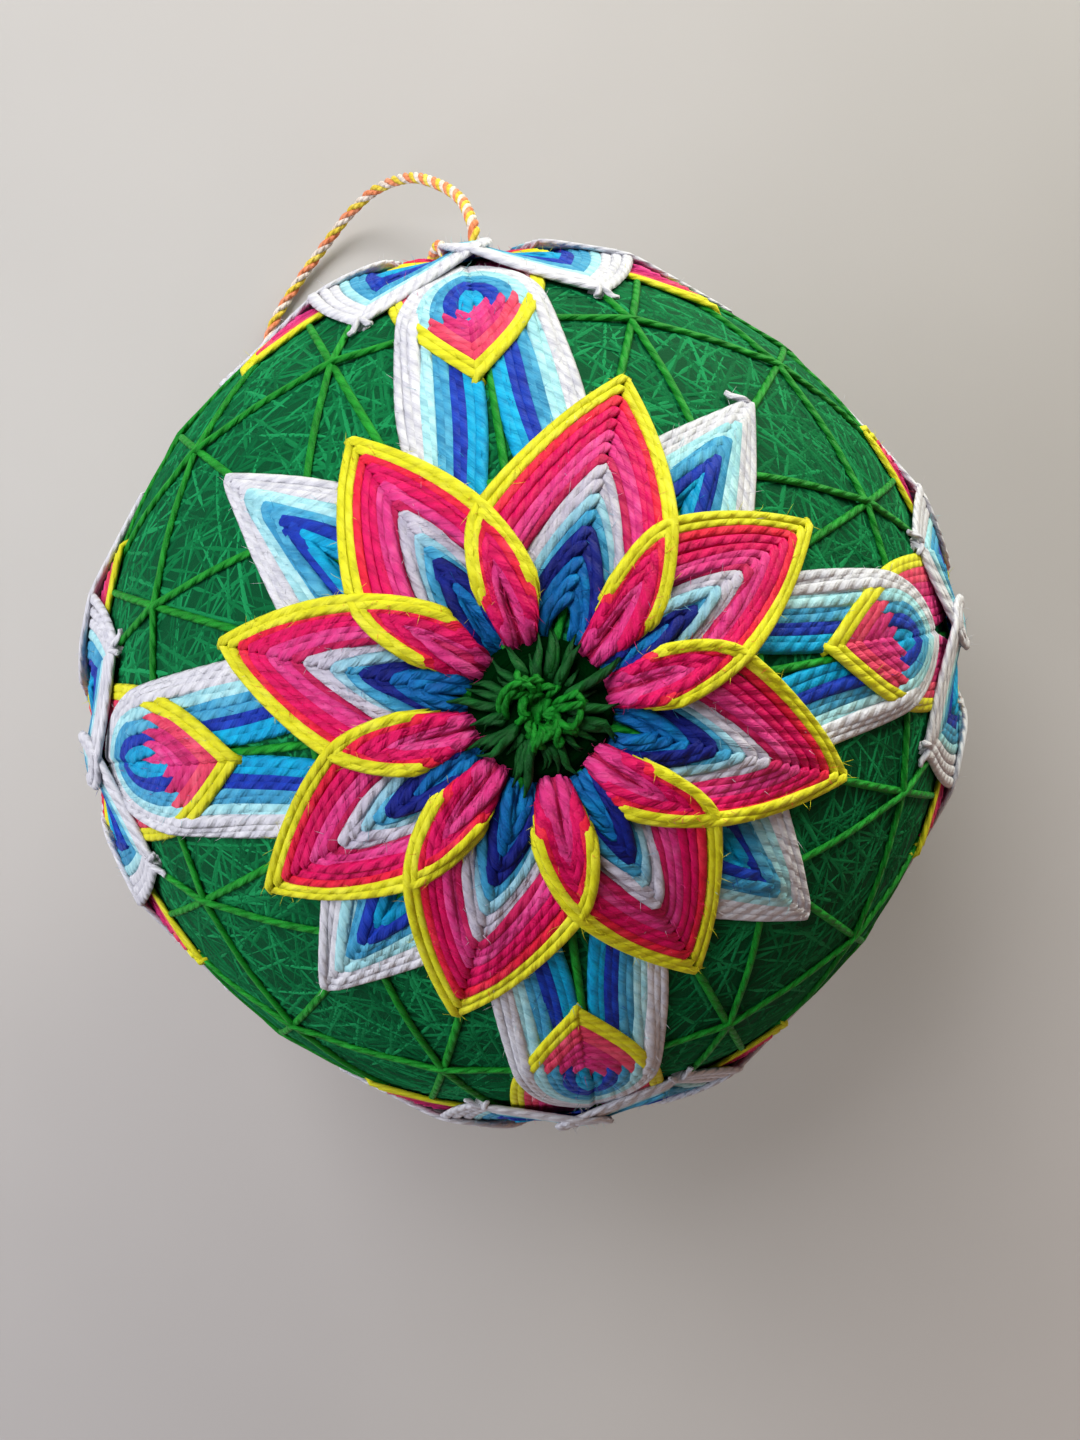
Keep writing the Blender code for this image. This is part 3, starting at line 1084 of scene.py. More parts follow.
@dataclass
class LowerFlower(Flower):
    """The lower layer: four long petals toward the neighbouring poles and four short ones.

    Its rows cross between petals, from the inner notch outward. A long side is an arch, as deep as
    its half width times arch but no less than least_arch, and runs straighter inside the polar
    angle straight_from. Threads overrun their crossings and tips a little.
    """

    layer: ClassVar[str] = "lower_flower"
    inner_notch: float = 10.0
    outer_notch: float = 26.0
    arch: float = 1.06
    arch_power: float = 1.0
    least_arch: float = 3.4
    straight_from: float = 34.0
    overrun: float = 0.6
    tip_overrun: float = 0.9
    bulge: float = 0.015

    def notch(self, row: int, petal: Petal, toward: float) -> Array:
        """The crossing beside a petal in the petal's own chart, with the petal's line upward.

        Args:
            row: number of the row.
            petal: the petal.
            toward: the crossing's azimuth.

        Returns:
            The chart point.
        """
        polar = self.inner_notch + (self.outer_notch - self.inner_notch) * self.share(row)
        return rotated(np.array([0.0, polar]), toward - petal.azimuth)

    def long_side(self, row: int, petal: Petal, toward: float) -> Array:
        """A thread along one side of a long petal, from its tip to the crossing.

        The distance aside is width tanh((d / a) ^ power) for a distance d from the tip, and then
        goes smoothly over to the crossing.

        Args:
            row: number of the row, 0 for the innermost.
            petal: the petal.
            toward: the crossing's azimuth.

        Returns:
            Points in the petal's own chart.
        """
        share = self.share(row)
        tip = petal.tip(share)
        width = petal.inner_width + (petal.outer_width - petal.inner_width) * share
        crossing = self.notch(row, petal, toward)
        side = math.copysign(1.0, crossing[0])
        along = tip - (tip - crossing[1]) * np.linspace(0.0, 1.0, 48) ** 2
        reach = max(width * self.arch, self.least_arch)
        aside = width * np.tanh(((tip - along) / reach) ** self.arch_power)
        inner = smooth_step((self.straight_from - along) / (self.straight_from - crossing[1]))
        aside = aside + (abs(crossing[0]) - width) * inner
        return np.stack([aside * side, along], axis=-1)

    def short_side(self, row: int, petal: Petal, toward: float) -> Array:
        """A thread along one side of a short petal, a bowed line from its tip to the crossing."""
        tip = np.array([0.0, petal.tip(self.share(row))])
        return bowed(tip, self.notch(row, petal, toward), self.bulge, 24)

    def paths(self, row: int) -> Iterator[Array]:
        """The chart paths of one row's threads, around the pole against the azimuth.

        Args:
            row: number of the row, 0 for the innermost.

        Returns:
            The chart points of each thread, one thread after another.
        """
        for turn in reversed(range(PETALS)):
            toward = PITCH * (turn + 0.5)
            for number in (turn, (turn + 1) % PETALS):
                petal = self.petals[number]
                bend = (toward - petal.azimuth + 180.0) % 360.0 - 180.0
                near = petal.azimuth + bend
                maker = self.short_side if number % 2 else self.long_side
                side = maker(row, petal, near)
                heading = unit(side[-1] - side[-4])
                start = side[0] + unit(side[0] - side[2]) * self.tip_overrun
                line = np.concatenate([[start], side, [side[-1] + heading * self.overrun]])
                yield rotated(line, petal.azimuth)


class BundleRow(NamedTuple):
    """How a row passes a bundle: where it meets or crosses its line, and where it dives."""

    cross: float
    beside: float
    dive: float
    aside: float


# Rows near the middle end under the bundle, and the later ones cross it to its far side.
BUNDLE_ROWS = (
    BundleRow(8.0, 3.0, 5.3, 2.3),
    BundleRow(8.5, 2.65, 5.4, 1.9),
    BundleRow(8.9, 2.3, 5.5, 1.5),
    BundleRow(9.3, 2.0, 5.9, 1.2),
    BundleRow(9.7, 1.7, 6.6, 0.9),
    BundleRow(10.4, 1.4, 7.8, 0.7),
    BundleRow(10.9, 1.15, 8.6, 0.6),
    BundleRow(11.5, 0.9, 9.4, 0.45),
    BundleRow(12.0, 0.7, 10.2, 0.3),
    BundleRow(12.4, 0.0, 5.5, -0.15),
    BundleRow(13.1, 0.0, 5.1, -0.55),
    BundleRow(14.0, 0.0, 5.3, -1.0),
    BundleRow(15.2, 0.0, 6.2, -1.4),
    BundleRow(16.6, 0.0, 7.2, -1.7),
    BundleRow(18.0, 0.0, 8.1, -1.95),
    BundleRow(19.1, 0.0, 9.0, -2.25),
    BundleRow(20.2, 0.0, 9.8, -2.6),
)

# The swell under a bundle's crossed threads: its height, and its half width, by polar angle.
SWELL_HEIGHTS = ((6.2, 0.7), (7.6, 1.35), (11.0, 1.6), (14.0, 1.4), (19.0, 0.8))
SWELL_WIDTHS = ((6.2, 0.6), (8.0, 1.0), (12.0, 1.5), (15.0, 1.7), (19.0, 1.1))


@dataclass
class UpperFlower(Flower):
    """The upper layer: eight petals whose threads cross in raised bundles over the notches.

    Rows whose share is first_over or more cross over the bundle, which has swollen by then. A
    thread falls from where it crosses to where it dives on a cubic, whose tangents are shares of
    the distance between the two.
    """

    layer: ClassVar[str] = "upper_flower"
    bundles: tuple[Bundle, ...] = ()
    bulge: float = 0.054
    tip_overrun: float = 0.8
    first_over: float = 0.55
    crowding: float = 1.0
    fall_tangents: tuple[float, float] = (0.9, 1.1)
    ends: Ends = Ends((0.5, 1.8), (0.3, 1.0), (0.0, 2.0))

    def swell(self, bundle: Bundle, relief: Relief) -> None:
        """Raises the relief along a bundle for the stitches that end hidden inside it.

        The height is ridge sqrt(1 - (aside / width) squared).

        Args:
            bundle: the bundle.
            relief: the map of what has been laid.
        """
        polar = np.linspace(SWELL_HEIGHTS[0][0], SWELL_HEIGHTS[-1][0], 130)
        share = np.linspace(-1.0, 1.0, 41)
        line = np.stack([bundle.place(0.0, value) for value in polar])
        turns = np.radians([bundle.azimuth(value) for value in polar])
        across = np.stack([np.cos(turns), -np.sin(turns)], axis=-1)[:, None, :]
        chart = line[:, None, :] + (read_off(SWELL_WIDTHS, polar)[:, None] * share)[..., None] * across
        heights = read_off(SWELL_HEIGHTS, polar)[:, None] * np.sqrt(1.0 - share**2)
        relief.raise_to(relief.cells(self.pole.directions(chart)), heights)

    def stitch(self, row: int, relief: Relief) -> None:
        """Lays one row, over swollen bundles from the first row that crosses them.

        Args:
            row: number of the row, 0 for the innermost.
            relief: the map of what has been laid.
        """
        if self.share(row) >= self.first_over > self.share(row - 1):
            for bundle in self.bundles:
                self.swell(bundle, relief)
        super().stitch(row, relief)

    def passing(self, row: int, bundle: Bundle) -> BundleRow:
        """How a row passes a bundle, read between the rows of the table.

        Polar angles stretch with the bundle's own reach.

        Args:
            row: number of the row, 0 for the innermost.
            bundle: the bundle.

        Returns:
            How the row passes it, in degrees on the chart.
        """
        share = self.share(row)
        spots = np.linspace(0.0, 1.0, len(BUNDLE_ROWS))
        values = (float(np.interp(share, spots, column)) for column in zip(*BUNDLE_ROWS))
        cross, beside, dive, aside = values
        stretch = 1.0 + (bundle.reach / BUNDLE_ROWS[-1].cross - 1.0) * share
        return BundleRow(cross * stretch, beside, dive * stretch, aside)

    def paths(self, row: int) -> Iterator[Array]:
        """The chart paths of one row's threads, around the pole against the azimuth.

        Args:
            row: number of the row, 0 for the innermost.

        Returns:
            The chart points of each thread, one thread after another.
        """
        for turn in reversed(range(PETALS)):
            bundle = self.bundles[turn]
            for number, side in (((turn - 1) % PETALS, -1.0), (turn, 1.0)):
                yield self.thread_path(row, self.petals[number], bundle, side)

    def thread_path(self, row: int, petal: Petal, bundle: Bundle, side: float) -> Array:
        """One thread from a petal's tip along its side, over the bundle and down beside it.

        The tips lie at the row's share to the power of crowding, between the first and the last.

        Args:
            row: number of the row.
            petal: the petal.
            bundle: the bundle.
            side: 1 where the petal has the greater azimuth, or -1.

        Returns:
            Chart points.
        """
        tip_polar = petal.tip(self.share(row) ** self.crowding)
        tip = rotated(np.array([0.0, tip_polar]), petal.azimuth)
        passing = self.passing(row, bundle)
        cross = bundle.place(passing.beside * side, passing.cross)
        end = bundle.place(passing.aside * side, passing.dive)
        run = bowed(tip, cross, self.bulge, 24)
        start = run[0] + unit(run[0] - run[1]) * self.tip_overrun
        heading = unit(run[-1] - run[-2])
        inward = unit(bundle.place(0.0, 5.0) - bundle.place(0.0, 10.0))
        gap = float(np.linalg.norm(end - cross))
        leaving, arriving = self.fall_tangents
        fall = cubic(cross, heading * gap * leaving, end, inward * gap * arriving, 14)
        return np.concatenate([[start], run, fall[1:]])


@dataclass
class MarkingLines:
    """The bright lines that divide the ball: all the planes through each axis, 22.5 degrees apart.

    Each line begins at right angles to start.
    """

    thread: Thread = MARKING
    waver: float = 0.22
    turns: int = 8
    seed: int = 11
    start: tuple[float, float, float] = (0.31, 0.52, 0.79)

    def normals(self) -> list[Array]:
        """The unit normals of the great circles, each one once.

        Returns:
            The normals.
        """
        found: list[Array] = []
        for pole in (FRONT, TOP, RIGHT):
            for turn in range(self.turns):
                angle = 180.0 / self.turns * turn + 90.0
                normal = pole.directions(rotated(np.array([0.0, 90.0]), angle))
                if all(abs(normal @ other) < 0.999 for other in found):
                    found.append(normal)
        return found

    def build(self, relief: Relief) -> bpy.types.Object:
        """Lays every line on the bare ball and writes them as one piece.

        A circle's point is cos(turn) first + sin(turn) second, plus a slow waver aside.

        Args:
            relief: the map of what has been laid.

        Returns:
            The piece.
        """
        random = np.random.default_rng(self.seed)
        surface = Surface()
        count = int(round(2.0 * math.pi * BALL_RADIUS / relief.STEP))
        turn = np.arange(count) * 2.0 * math.pi / count
        every = int(round(self.thread.mesh_step / relief.STEP))
        chosen = np.arange(0, count - every // 2, every)
        sizes = self.thread.section(np.full(len(chosen), 1.0))
        for normal in self.normals():
            first = unit(np.cross(normal, np.array(self.start)))
            second = np.cross(normal, first)
            phases = random.uniform(0.0, 2.0 * math.pi, 3)
            aside = sum(np.sin((k + 2) * turn + phase) for k, phase in enumerate(phases)) / 3.0
            circle = np.cos(turn)[:, None] * first + np.sin(turn)[:, None] * second
            directions = unit(circle + normal * (aside * self.waver / BALL_RADIUS)[:, None])
            beside = np.broadcast_to(normal, directions.shape)
            centres = lift(directions, relief.lay(directions, beside, self.thread, None))[chosen]
            strand = Strand(0, float(random.random()))
            surface.tube(centres, directions[chosen], sizes, self.thread.sides, strand, ring=True)
        piece = surface.write("marking_lines", [MARKING_GREEN.material()])
        settle(piece, Slot.CENTRE)
        return piece


# The wrap's fibres run three ways: turns of the noise, and its cells for each metre.
WRAP_TURNS = ((0.3, 0.8, 0.1), (1.4, -0.5, 0.9), (-0.7, 0.4, 2.1))
WRAP_CELLS = (5200.0, 5200.0, 260.0)
WRAP_RELIEF = 0.00012
# Where the wrap turns from its shade to its colour and then to its glow, and its darker patches.
# The bed, at strand value 0, takes the shade colour throughout, as painted shade in the gaps.
WRAP_LOW = (0.0, 0.6)
WRAP_HIGH = Tint(0.55, 1.0, 0.7)
WRAP_PATCH = Tint(0.35, 0.65, 0.4)


@dataclass(frozen=True)
class WrapFinish:
    """The fine thread that the ball is wound with: matt, and painted darker as shade where it lies lower."""

    name: str
    colour: str
    shade: str
    glow: str

    def material(self) -> bpy.types.Material:
        """The wrap's material, with a patchy shade and a fibre bump in three directions.

        Returns:
            The material.
        """
        nodes = Nodes(self.name)
        place = nodes.add("TexCoord").outputs["Object"]
        strand = nodes.add("Attribute", attribute_name="strand").outputs["Fac"]
        heights = []
        for turn in WRAP_TURNS:
            mapping = nodes.add("Mapping", {"Vector": place, "Rotation": turn, "Scale": WRAP_CELLS})
            heights.append(nodes.noise(mapping.outputs[0], 1.0, 1.0))
        fibres = nodes.math("MAXIMUM", nodes.math("MAXIMUM", heights[0], heights[1]), heights[2])
        base, shade, glow = (linear_colour(c) for c in (self.colour, self.shade, self.glow))
        tone = nodes.mix(nodes.ramp(strand, *WRAP_LOW), shade, base)
        tone = WRAP_PATCH.over(nodes, tone, shade, nodes.noise(place, 90.0, 3.0))
        tone = WRAP_HIGH.over(nodes, tone, glow, strand)
        bump = nodes.add("Bump", {"Strength": 0.8, "Distance": WRAP_RELIEF, "Height": fibres})
        return nodes.finish(
            {
                "Base Color": tone,
                "Roughness": 0.75,
                "Specular IOR Level": 0.05,
                "Normal": bump.outputs[0],
            }
        )


# The bed is painted darker than the last turns, as painted shade in the gaps between them.
SHADED_WRAP_BED = WrapFinish("shaded_wrap_bed", "05522E", "044426", "05522E")
WRAP_THREAD = WrapFinish("wrap_thread", "096839", "054E2C", "1C8E54")


@dataclass
class WoundBall:
    """The ball: a bed of packed thread, and the last turns of fine thread over it.

    A fine thread's ends dip into the bed, and its edges lie lower than its ridge by a share of its
    half width. A range is the least and the most of a thread's size, as shares of the usual one.
    """

    bed_depth: float = 0.1
    bed_rings: int = 81
    bed_columns: int = 160
    arcs: int = 9500
    arc_length: float = 17.0
    arc_points: int = 5
    half_width: float = 0.24
    rise: float = 0.16
    dip: float = 0.03
    edge_drop: float = 0.6
    length_range: tuple[float, float] = (0.6, 1.4)
    rise_range: tuple[float, float] = (0.75, 1.25)
    width_range: tuple[float, float] = (0.7, 1.2)
    seed: int = 5

    def add_bed(self, surface: Surface) -> None:
        """Adds a closed sphere of even rings, a little inside the ball's surface.

        Args:
            surface: the ball's mesh.
        """
        polar = np.radians(np.linspace(0.0, 180.0, self.bed_rings))[1:-1]
        around = np.linspace(0.0, 2.0 * math.pi, self.bed_columns, endpoint=False)
        reach = np.sin(polar)[:, None]
        upright = np.broadcast_to(np.cos(polar)[:, None], (len(polar), len(around)))
        directions = np.stack([reach * np.cos(around), reach * np.sin(around), upright], axis=-1)
        grid = lift(directions, np.full(directions.shape[:2], -self.bed_depth))
        share = np.arange(len(around) + 1) / len(around)
        # Strand value 0 keeps the bed at the darker shade colour, as painted shade.
        bed = Strand(0, 0.0)
        numbers = surface.add(grid, polar, share, bed, ring=True)
        for ring, up, place in ((numbers[0], 1.0, polar[0]), (numbers[-1][::-1], -1.0, polar[-1])):
            middle = lift(np.array([0.0, 0.0, up]), np.array(-self.bed_depth))
            surface.close(ring, middle, float(place), bed)

    def add_arcs(self, surface: Surface) -> None:
        """Adds the fine threads, each a narrow ridge along a great circle whose ends dip.

        A ridge's height is rise sin(pi s) ^ 0.4 less the bed's depth and the dip, for a share s of
        its length.

        Args:
            surface: the ball's mesh.
        """
        random = np.random.default_rng(self.seed)
        middle = unit(random.normal(size=(self.arcs, 3)))
        heading = unit(np.cross(middle, random.normal(size=(self.arcs, 3))))
        across = np.cross(heading, middle)
        length = self.arc_length * random.uniform(*self.length_range, self.arcs)
        share = np.linspace(0.0, 1.0, self.arc_points)
        turn = ((share - 0.5)[None, :] * (length / BALL_RADIUS)[:, None])[..., None]
        directions = np.cos(turn) * middle[:, None, :] + np.sin(turn) * heading[:, None, :]
        rise = self.rise * random.uniform(*self.rise_range, self.arcs)
        ridge = rise[:, None] * np.sin(math.pi * share)[None, :] ** 0.4 - self.bed_depth - self.dip
        width = self.half_width * random.uniform(*self.width_range, self.arcs)
        around = np.array([0.0, 0.5, 1.0])
        for number in range(self.arcs):
            grid = self.roof(directions[number], across[number], ridge[number], float(width[number]))
            strand = Strand(1, float(random.random()))
            surface.add(grid, share * length[number], around, strand, ring=False)

    def roof(self, directions: Array, across: Array, ridge: Array, width: float) -> Array:
        """The two slopes of one fine thread: its edges on the bed and its ridge between them.

        Args:
            directions: unit vectors along the thread.
            across: the unit vector across it.
            ridge: the ridge's height over the ball at each point.
            width: half the thread's width.

        Returns:
            Points, three across the thread for each one along it.
        """
        shift = across * width
        low = lift(directions, ridge - self.edge_drop * width)
        return np.stack([low - shift, lift(directions, ridge), low + shift], axis=1)

    def build(self) -> bpy.types.Object:
        """Writes the ball in place of its solid.

        Returns:
            The piece.
        """
        surface = Surface()
        self.add_bed(surface)
        self.add_arcs(surface)
        piece = surface.write("wound_ball", [SHADED_WRAP_BED.material(), WRAP_THREAD.material()])
        settle(piece, Slot.WRAP, "ball")
        return piece


# The centre stitches' height over the ball by polar angle: a ring around a hollow, low at the rim.
CENTRE_HEIGHTS = ((0.0, -0.3), (0.7, 0.1), (1.4, 0.9), (2.5, 1.25), (3.4, 1.1), (5.0, 0.75), (7.0, 0.55))
# Polar angles of the rings on the mound's top, and its rim and underside with their heights.
MOUND_TOP = (0.35, 0.7, 1.4, 2.1, 2.8, 3.6, 4.4, 5.2, 6.0)
MOUND_RIM = ((6.8, 0.3), (7.0, -0.5), (5.0, -0.5), (1.0, -0.6))
# Heights of the mound's middle on its top and on its underside.
MOUND_MIDDLES = (-0.45, -0.6)


@dataclass
class CentreStitches(Stitching):
    """The green stitches at a pole: pointed spokes between the bundles, around a knot of loops.

    Radii and lengths of spokes, curls and straps are degrees on the chart. A pair of them is the
    least and the most, and a spread is a standard deviation. A spoke's tip moves from short_outer
    beside a bundle to outer at bundle_turn away from it, and long spokes are less even.
    """

    bundles: tuple[Bundle, ...]
    spoke_gap: float = 9.5
    outer: float = 7.9
    inner: float = 2.6
    short_outer: float = 5.3
    bundle_turn: float = 19.0
    turn_spread: float = 3.0
    lean_spreads: tuple[float, float] = (0.4, 0.2)
    inner_spread: float = 0.3
    outer_spreads: tuple[float, float] = (0.15, 0.45)
    spoke_waver: float = 0.05
    curls: int = 13
    straps: int = 20
    curl_radii: tuple[float, float] = (1.2, 3.6)
    curl_lengths: tuple[float, float] = (1.8, 3.6)
    curl_spread: float = 0.6
    curl_bow: float = 0.3
    strap_starts: tuple[float, float] = (0.9, 1.6)
    strap_lengths: tuple[float, float] = (1.6, 2.9)
    strap_spreads: tuple[float, float] = (0.5, 0.35)
    mound_columns: int = 32
    mound_reach: float = 6.0
    mound_sink: float = 0.1
    bed_sink: float = 0.08

    def add_mound(self, relief: Relief) -> None:
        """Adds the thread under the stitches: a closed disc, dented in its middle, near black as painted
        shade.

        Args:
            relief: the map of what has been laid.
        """
        top = np.array(MOUND_TOP)
        rim_polar, rim_heights = zip(*MOUND_RIM)
        polar = np.concatenate([top, rim_polar])
        heights = np.concatenate([read_off(CENTRE_HEIGHTS, top) - self.mound_sink, rim_heights])
        azimuth = np.radians(np.arange(self.mound_columns) * 360.0 / self.mound_columns)
        chart = around_pole(polar[:, None], azimuth)
        grid = lift(self.pole.directions(chart), np.broadcast_to(heights[:, None], chart.shape[:2]))
        share = np.arange(self.mound_columns + 1) / self.mound_columns
        # Finish 0 is the near-black painted shade under the stitches.
        mound = Strand(0, 0.2)
        numbers = self.surface.add(grid[:, ::-1], polar, share, mound, ring=True)
        axis = np.array(self.pole.axis, float)
        for ring, height in zip((numbers[0], numbers[-1][::-1]), MOUND_MIDDLES):
            self.surface.close(ring, lift(axis, np.array(height)), 0.0, mound)
        reaches, turns = np.linspace(0.0, self.mound_reach, 90), np.linspace(0.0, 2.0 * math.pi, 400)
        polar, azimuth = np.meshgrid(reaches, turns)
        cells = relief.cells(self.pole.directions(around_pole(polar, azimuth)))
        relief.raise_to(cells, read_off(CENTRE_HEIGHTS, polar) - self.bed_sink)

    def spoke(self, relief: Relief, azimuth: float, outer: float) -> None:
        """Lays one spoke from its point at the rim up to the knot.

        Args:
            relief: the map of what has been laid.
            azimuth: the spoke's azimuth.
            outer: polar angle of its point.
        """
        leans = [uneven(self.random, spread) for spread in self.lean_spreads]
        across = np.array([*leans, 0.0, 0.0])
        polar = np.linspace(outer, uneven(self.random, self.inner_spread, self.inner), len(across))
        path = rotated(np.stack([across, polar], axis=-1), azimuth)
        self.lay(path, relief, SPOKE, 1, SPOKE_ENDS, self.spoke_waver)

    def add_spokes(self, relief: Relief) -> None:
        """Lays the spokes all around, the long ones in the gaps between bundles.

        Args:
            relief: the map of what has been laid.
        """
        around = sorted(bundle.inner_azimuth % 360.0 for bundle in self.bundles)
        for first, last in zip(around, around[1:] + [around[0] + 360.0]):
            count = max(2, int(round((last - first) / self.spoke_gap)))
            for azimuth in np.linspace(first, last, count, endpoint=False):
                azimuth = uneven(self.random, self.turn_spread, azimuth)
                free = min(abs(azimuth - first), abs(last - azimuth)) / self.bundle_turn
                growth = float(smooth_step(np.array(free)))
                outer = self.short_outer + (self.outer - self.short_outer) * growth
                spread = self.outer_spreads[0] + self.outer_spreads[1] * growth
                self.spoke(relief, azimuth, uneven(self.random, spread, outer))

    def curl(self, toward: float, share: Array) -> Array:
        """The chart path of a curl, an arc around the hollow.

        Args:
            toward: azimuth of the curl's middle.
            share: share of the way at each point.

        Returns:
            Chart points.
        """
        radius = self.random.uniform(*self.curl_radii)
        span = self.random.uniform(*self.curl_lengths) / radius
        azimuth = np.radians(toward) + span * (share - 0.5)
        drift = uneven(self.random, self.curl_spread) * (share - 0.5)
        return around_pole(radius + drift + self.curl_bow * np.sin(math.pi * share), azimuth)

    def strap(self, toward: float, share: Array) -> Array:
        """The chart path of a strap, which goes outward from the hollow's rim.

        Args:
            toward: azimuth in which the strap lies.
            share: share of the way at each point.

        Returns:
            Chart points.
        """
        slant, bow = (uneven(self.random, spread) for spread in self.strap_spreads)
        across = slant * (share - 0.5) + bow * np.sin(2.0 * math.pi * share)
        polar = self.random.uniform(*self.strap_starts) + self.random.uniform(*self.strap_lengths) * share
        return rotated(np.stack([across, polar], axis=-1), toward)

    def add_knot(self, relief: Relief) -> None:
        """Lays curls around the hollow and straps from its rim outward, in turns at first.

        Args:
            relief: the map of what has been laid.
        """
        share = np.linspace(0.0, 1.0, 12)
        for number in range(self.curls + self.straps):
            toward = self.random.uniform(0.0, 360.0)
            maker = self.curl if number % 2 and number < 2 * self.curls else self.strap
            self.lay(maker(toward, share), relief, KNOT_LOOP, 2, KNOT_ENDS)

    def build(self, relief: Relief) -> bpy.types.Object:
        """Writes the stitches in place of their solid.

        Args:
            relief: the map of what has been laid.

        Returns:
            The piece.
        """
        self.add_mound(relief)
        self.add_spokes(relief)
        self.add_knot(relief)
        materials = [finish.material() for finish in (CENTRE_SHADOW, SHADED_CENTRE_GREEN, KNOT_GREEN)]
        piece = self.surface.write(f"{self.pole.name}_centre_stitches", materials)
        settle(piece, Slot.CENTRE, f"{self.pole.name}_centre")
        return piece


@dataclass
class HangingLoop:
    """The hanging loop: a cord of three dyed plies, both ends sewn in at the top pole.

    The first ply starts at right angles to the cord and to first_side.
    """

    diameter: float = 1.5
    lay_length: float = 5.2
    ply_radius: float = 0.36
    ply_offset: float = 0.37
    step: float = 0.45
    first_side: tuple[float, float, float] = (0.25, 0.1, 0.96)
    route: tuple[tuple[float, float, float], ...] = (
        (1.1, 47.1, 47.2),
        (1.8, 51.5, 46.4),
        (1.7, 54.9, 42.5),
        (1.1, 60.0, 35.0),
        (-1.0, 65.5, 26.5),
        (-4.8, 71.0, 17.0),
        (-9.9, 73.5, 9.0),
        (-14.6, 72.5, 4.5),
        (-19.0, 69.5, 2.2),
        (-25.0, 64.0, 1.1),
        (-30.0, 57.5, 1.0),
        (-32.0, 49.0, 1.0),
        (-28.0, 41.0, 1.0),
        (-20.0, 38.0, 1.2),
        (-12.0, 41.0, 5.0),
        (-7.0, 47.0, 15.0),
        (-4.5, 52.0, 29.0),
        (-2.4, 52.5, 41.0),
        (-1.1, 47.1, 47.2),
    )

    def centreline(self) -> Array:
        """A smooth cubic through the route's points, at an even step.

        Returns:
            Points in millimetres.
        """
        points = np.array(self.route)
        padded = np.vstack([2 * points[0] - points[1], points, 2 * points[-1] - points[-2]])
        spans = [
            cubic(start, (end - before) / 2.0, end, (after - start) / 2.0, 24)[:-1]
            for before, start, end, after in zip(padded, padded[1:], padded[2:], padded[3:])
        ]
        return resample(np.vstack(spans + [points[-1:]]), self.step)

    def build(self) -> bpy.types.Object:
        """Writes the cord's three plies as one piece.

        A ply's middle is centre + offset (cos(turn) across + sin(turn) beside), with turn growing
        by a full circle in each lay length.

        Returns:
            The piece.
        """
        line = self.centreline()
        tangents = unit(np.gradient(line, axis=0))
        across = unit(np.cross(tangents, unit(np.array(self.first_side))))
        beside = np.cross(tangents, across)
        surface = Surface()
        sizes = np.full((len(line), 2), self.ply_radius)
        plies = len(CORD_PLIES)
        for ply in range(plies):
            turn = 2.0 * math.pi * (np.arange(len(line)) * self.step / self.lay_length + ply / plies)
            aside = np.cos(turn)[:, None] * across + np.sin(turn)[:, None] * beside
            surface.tube(line + self.ply_offset * aside, aside, sizes, 8, Strand(ply, ply / plies))
        piece = surface.write("loop_cord_plies", [dye.material() for dye in CORD_PLIES])
        settle(piece, Slot.CORD, "loop_cord")
        return piece


class Lamp(NamedTuple):
    """A square area light: its name, place and side in metres, power in watts, and colour."""

    name: str
    place: tuple[float, float, float]
    side: float
    power: float
    colour: tuple[float, float, float]


LAMPS = (
    Lamp("window", (-0.16, 0.32, 0.42), 0.28, 2.6, (1.0, 0.985, 0.97)),
    Lamp("fill", (-0.48, -0.08, 0.28), 0.45, 2.1, (0.94, 0.93, 1.0)),
    Lamp("side", (0.38, 0.45, 0.12), 0.25, 4.2, (1.0, 0.99, 0.8)),
    Lamp("bounce", (0.34, -0.3, 0.16), 0.3, 0.34, (1.0, 0.45, 0.25)),
)


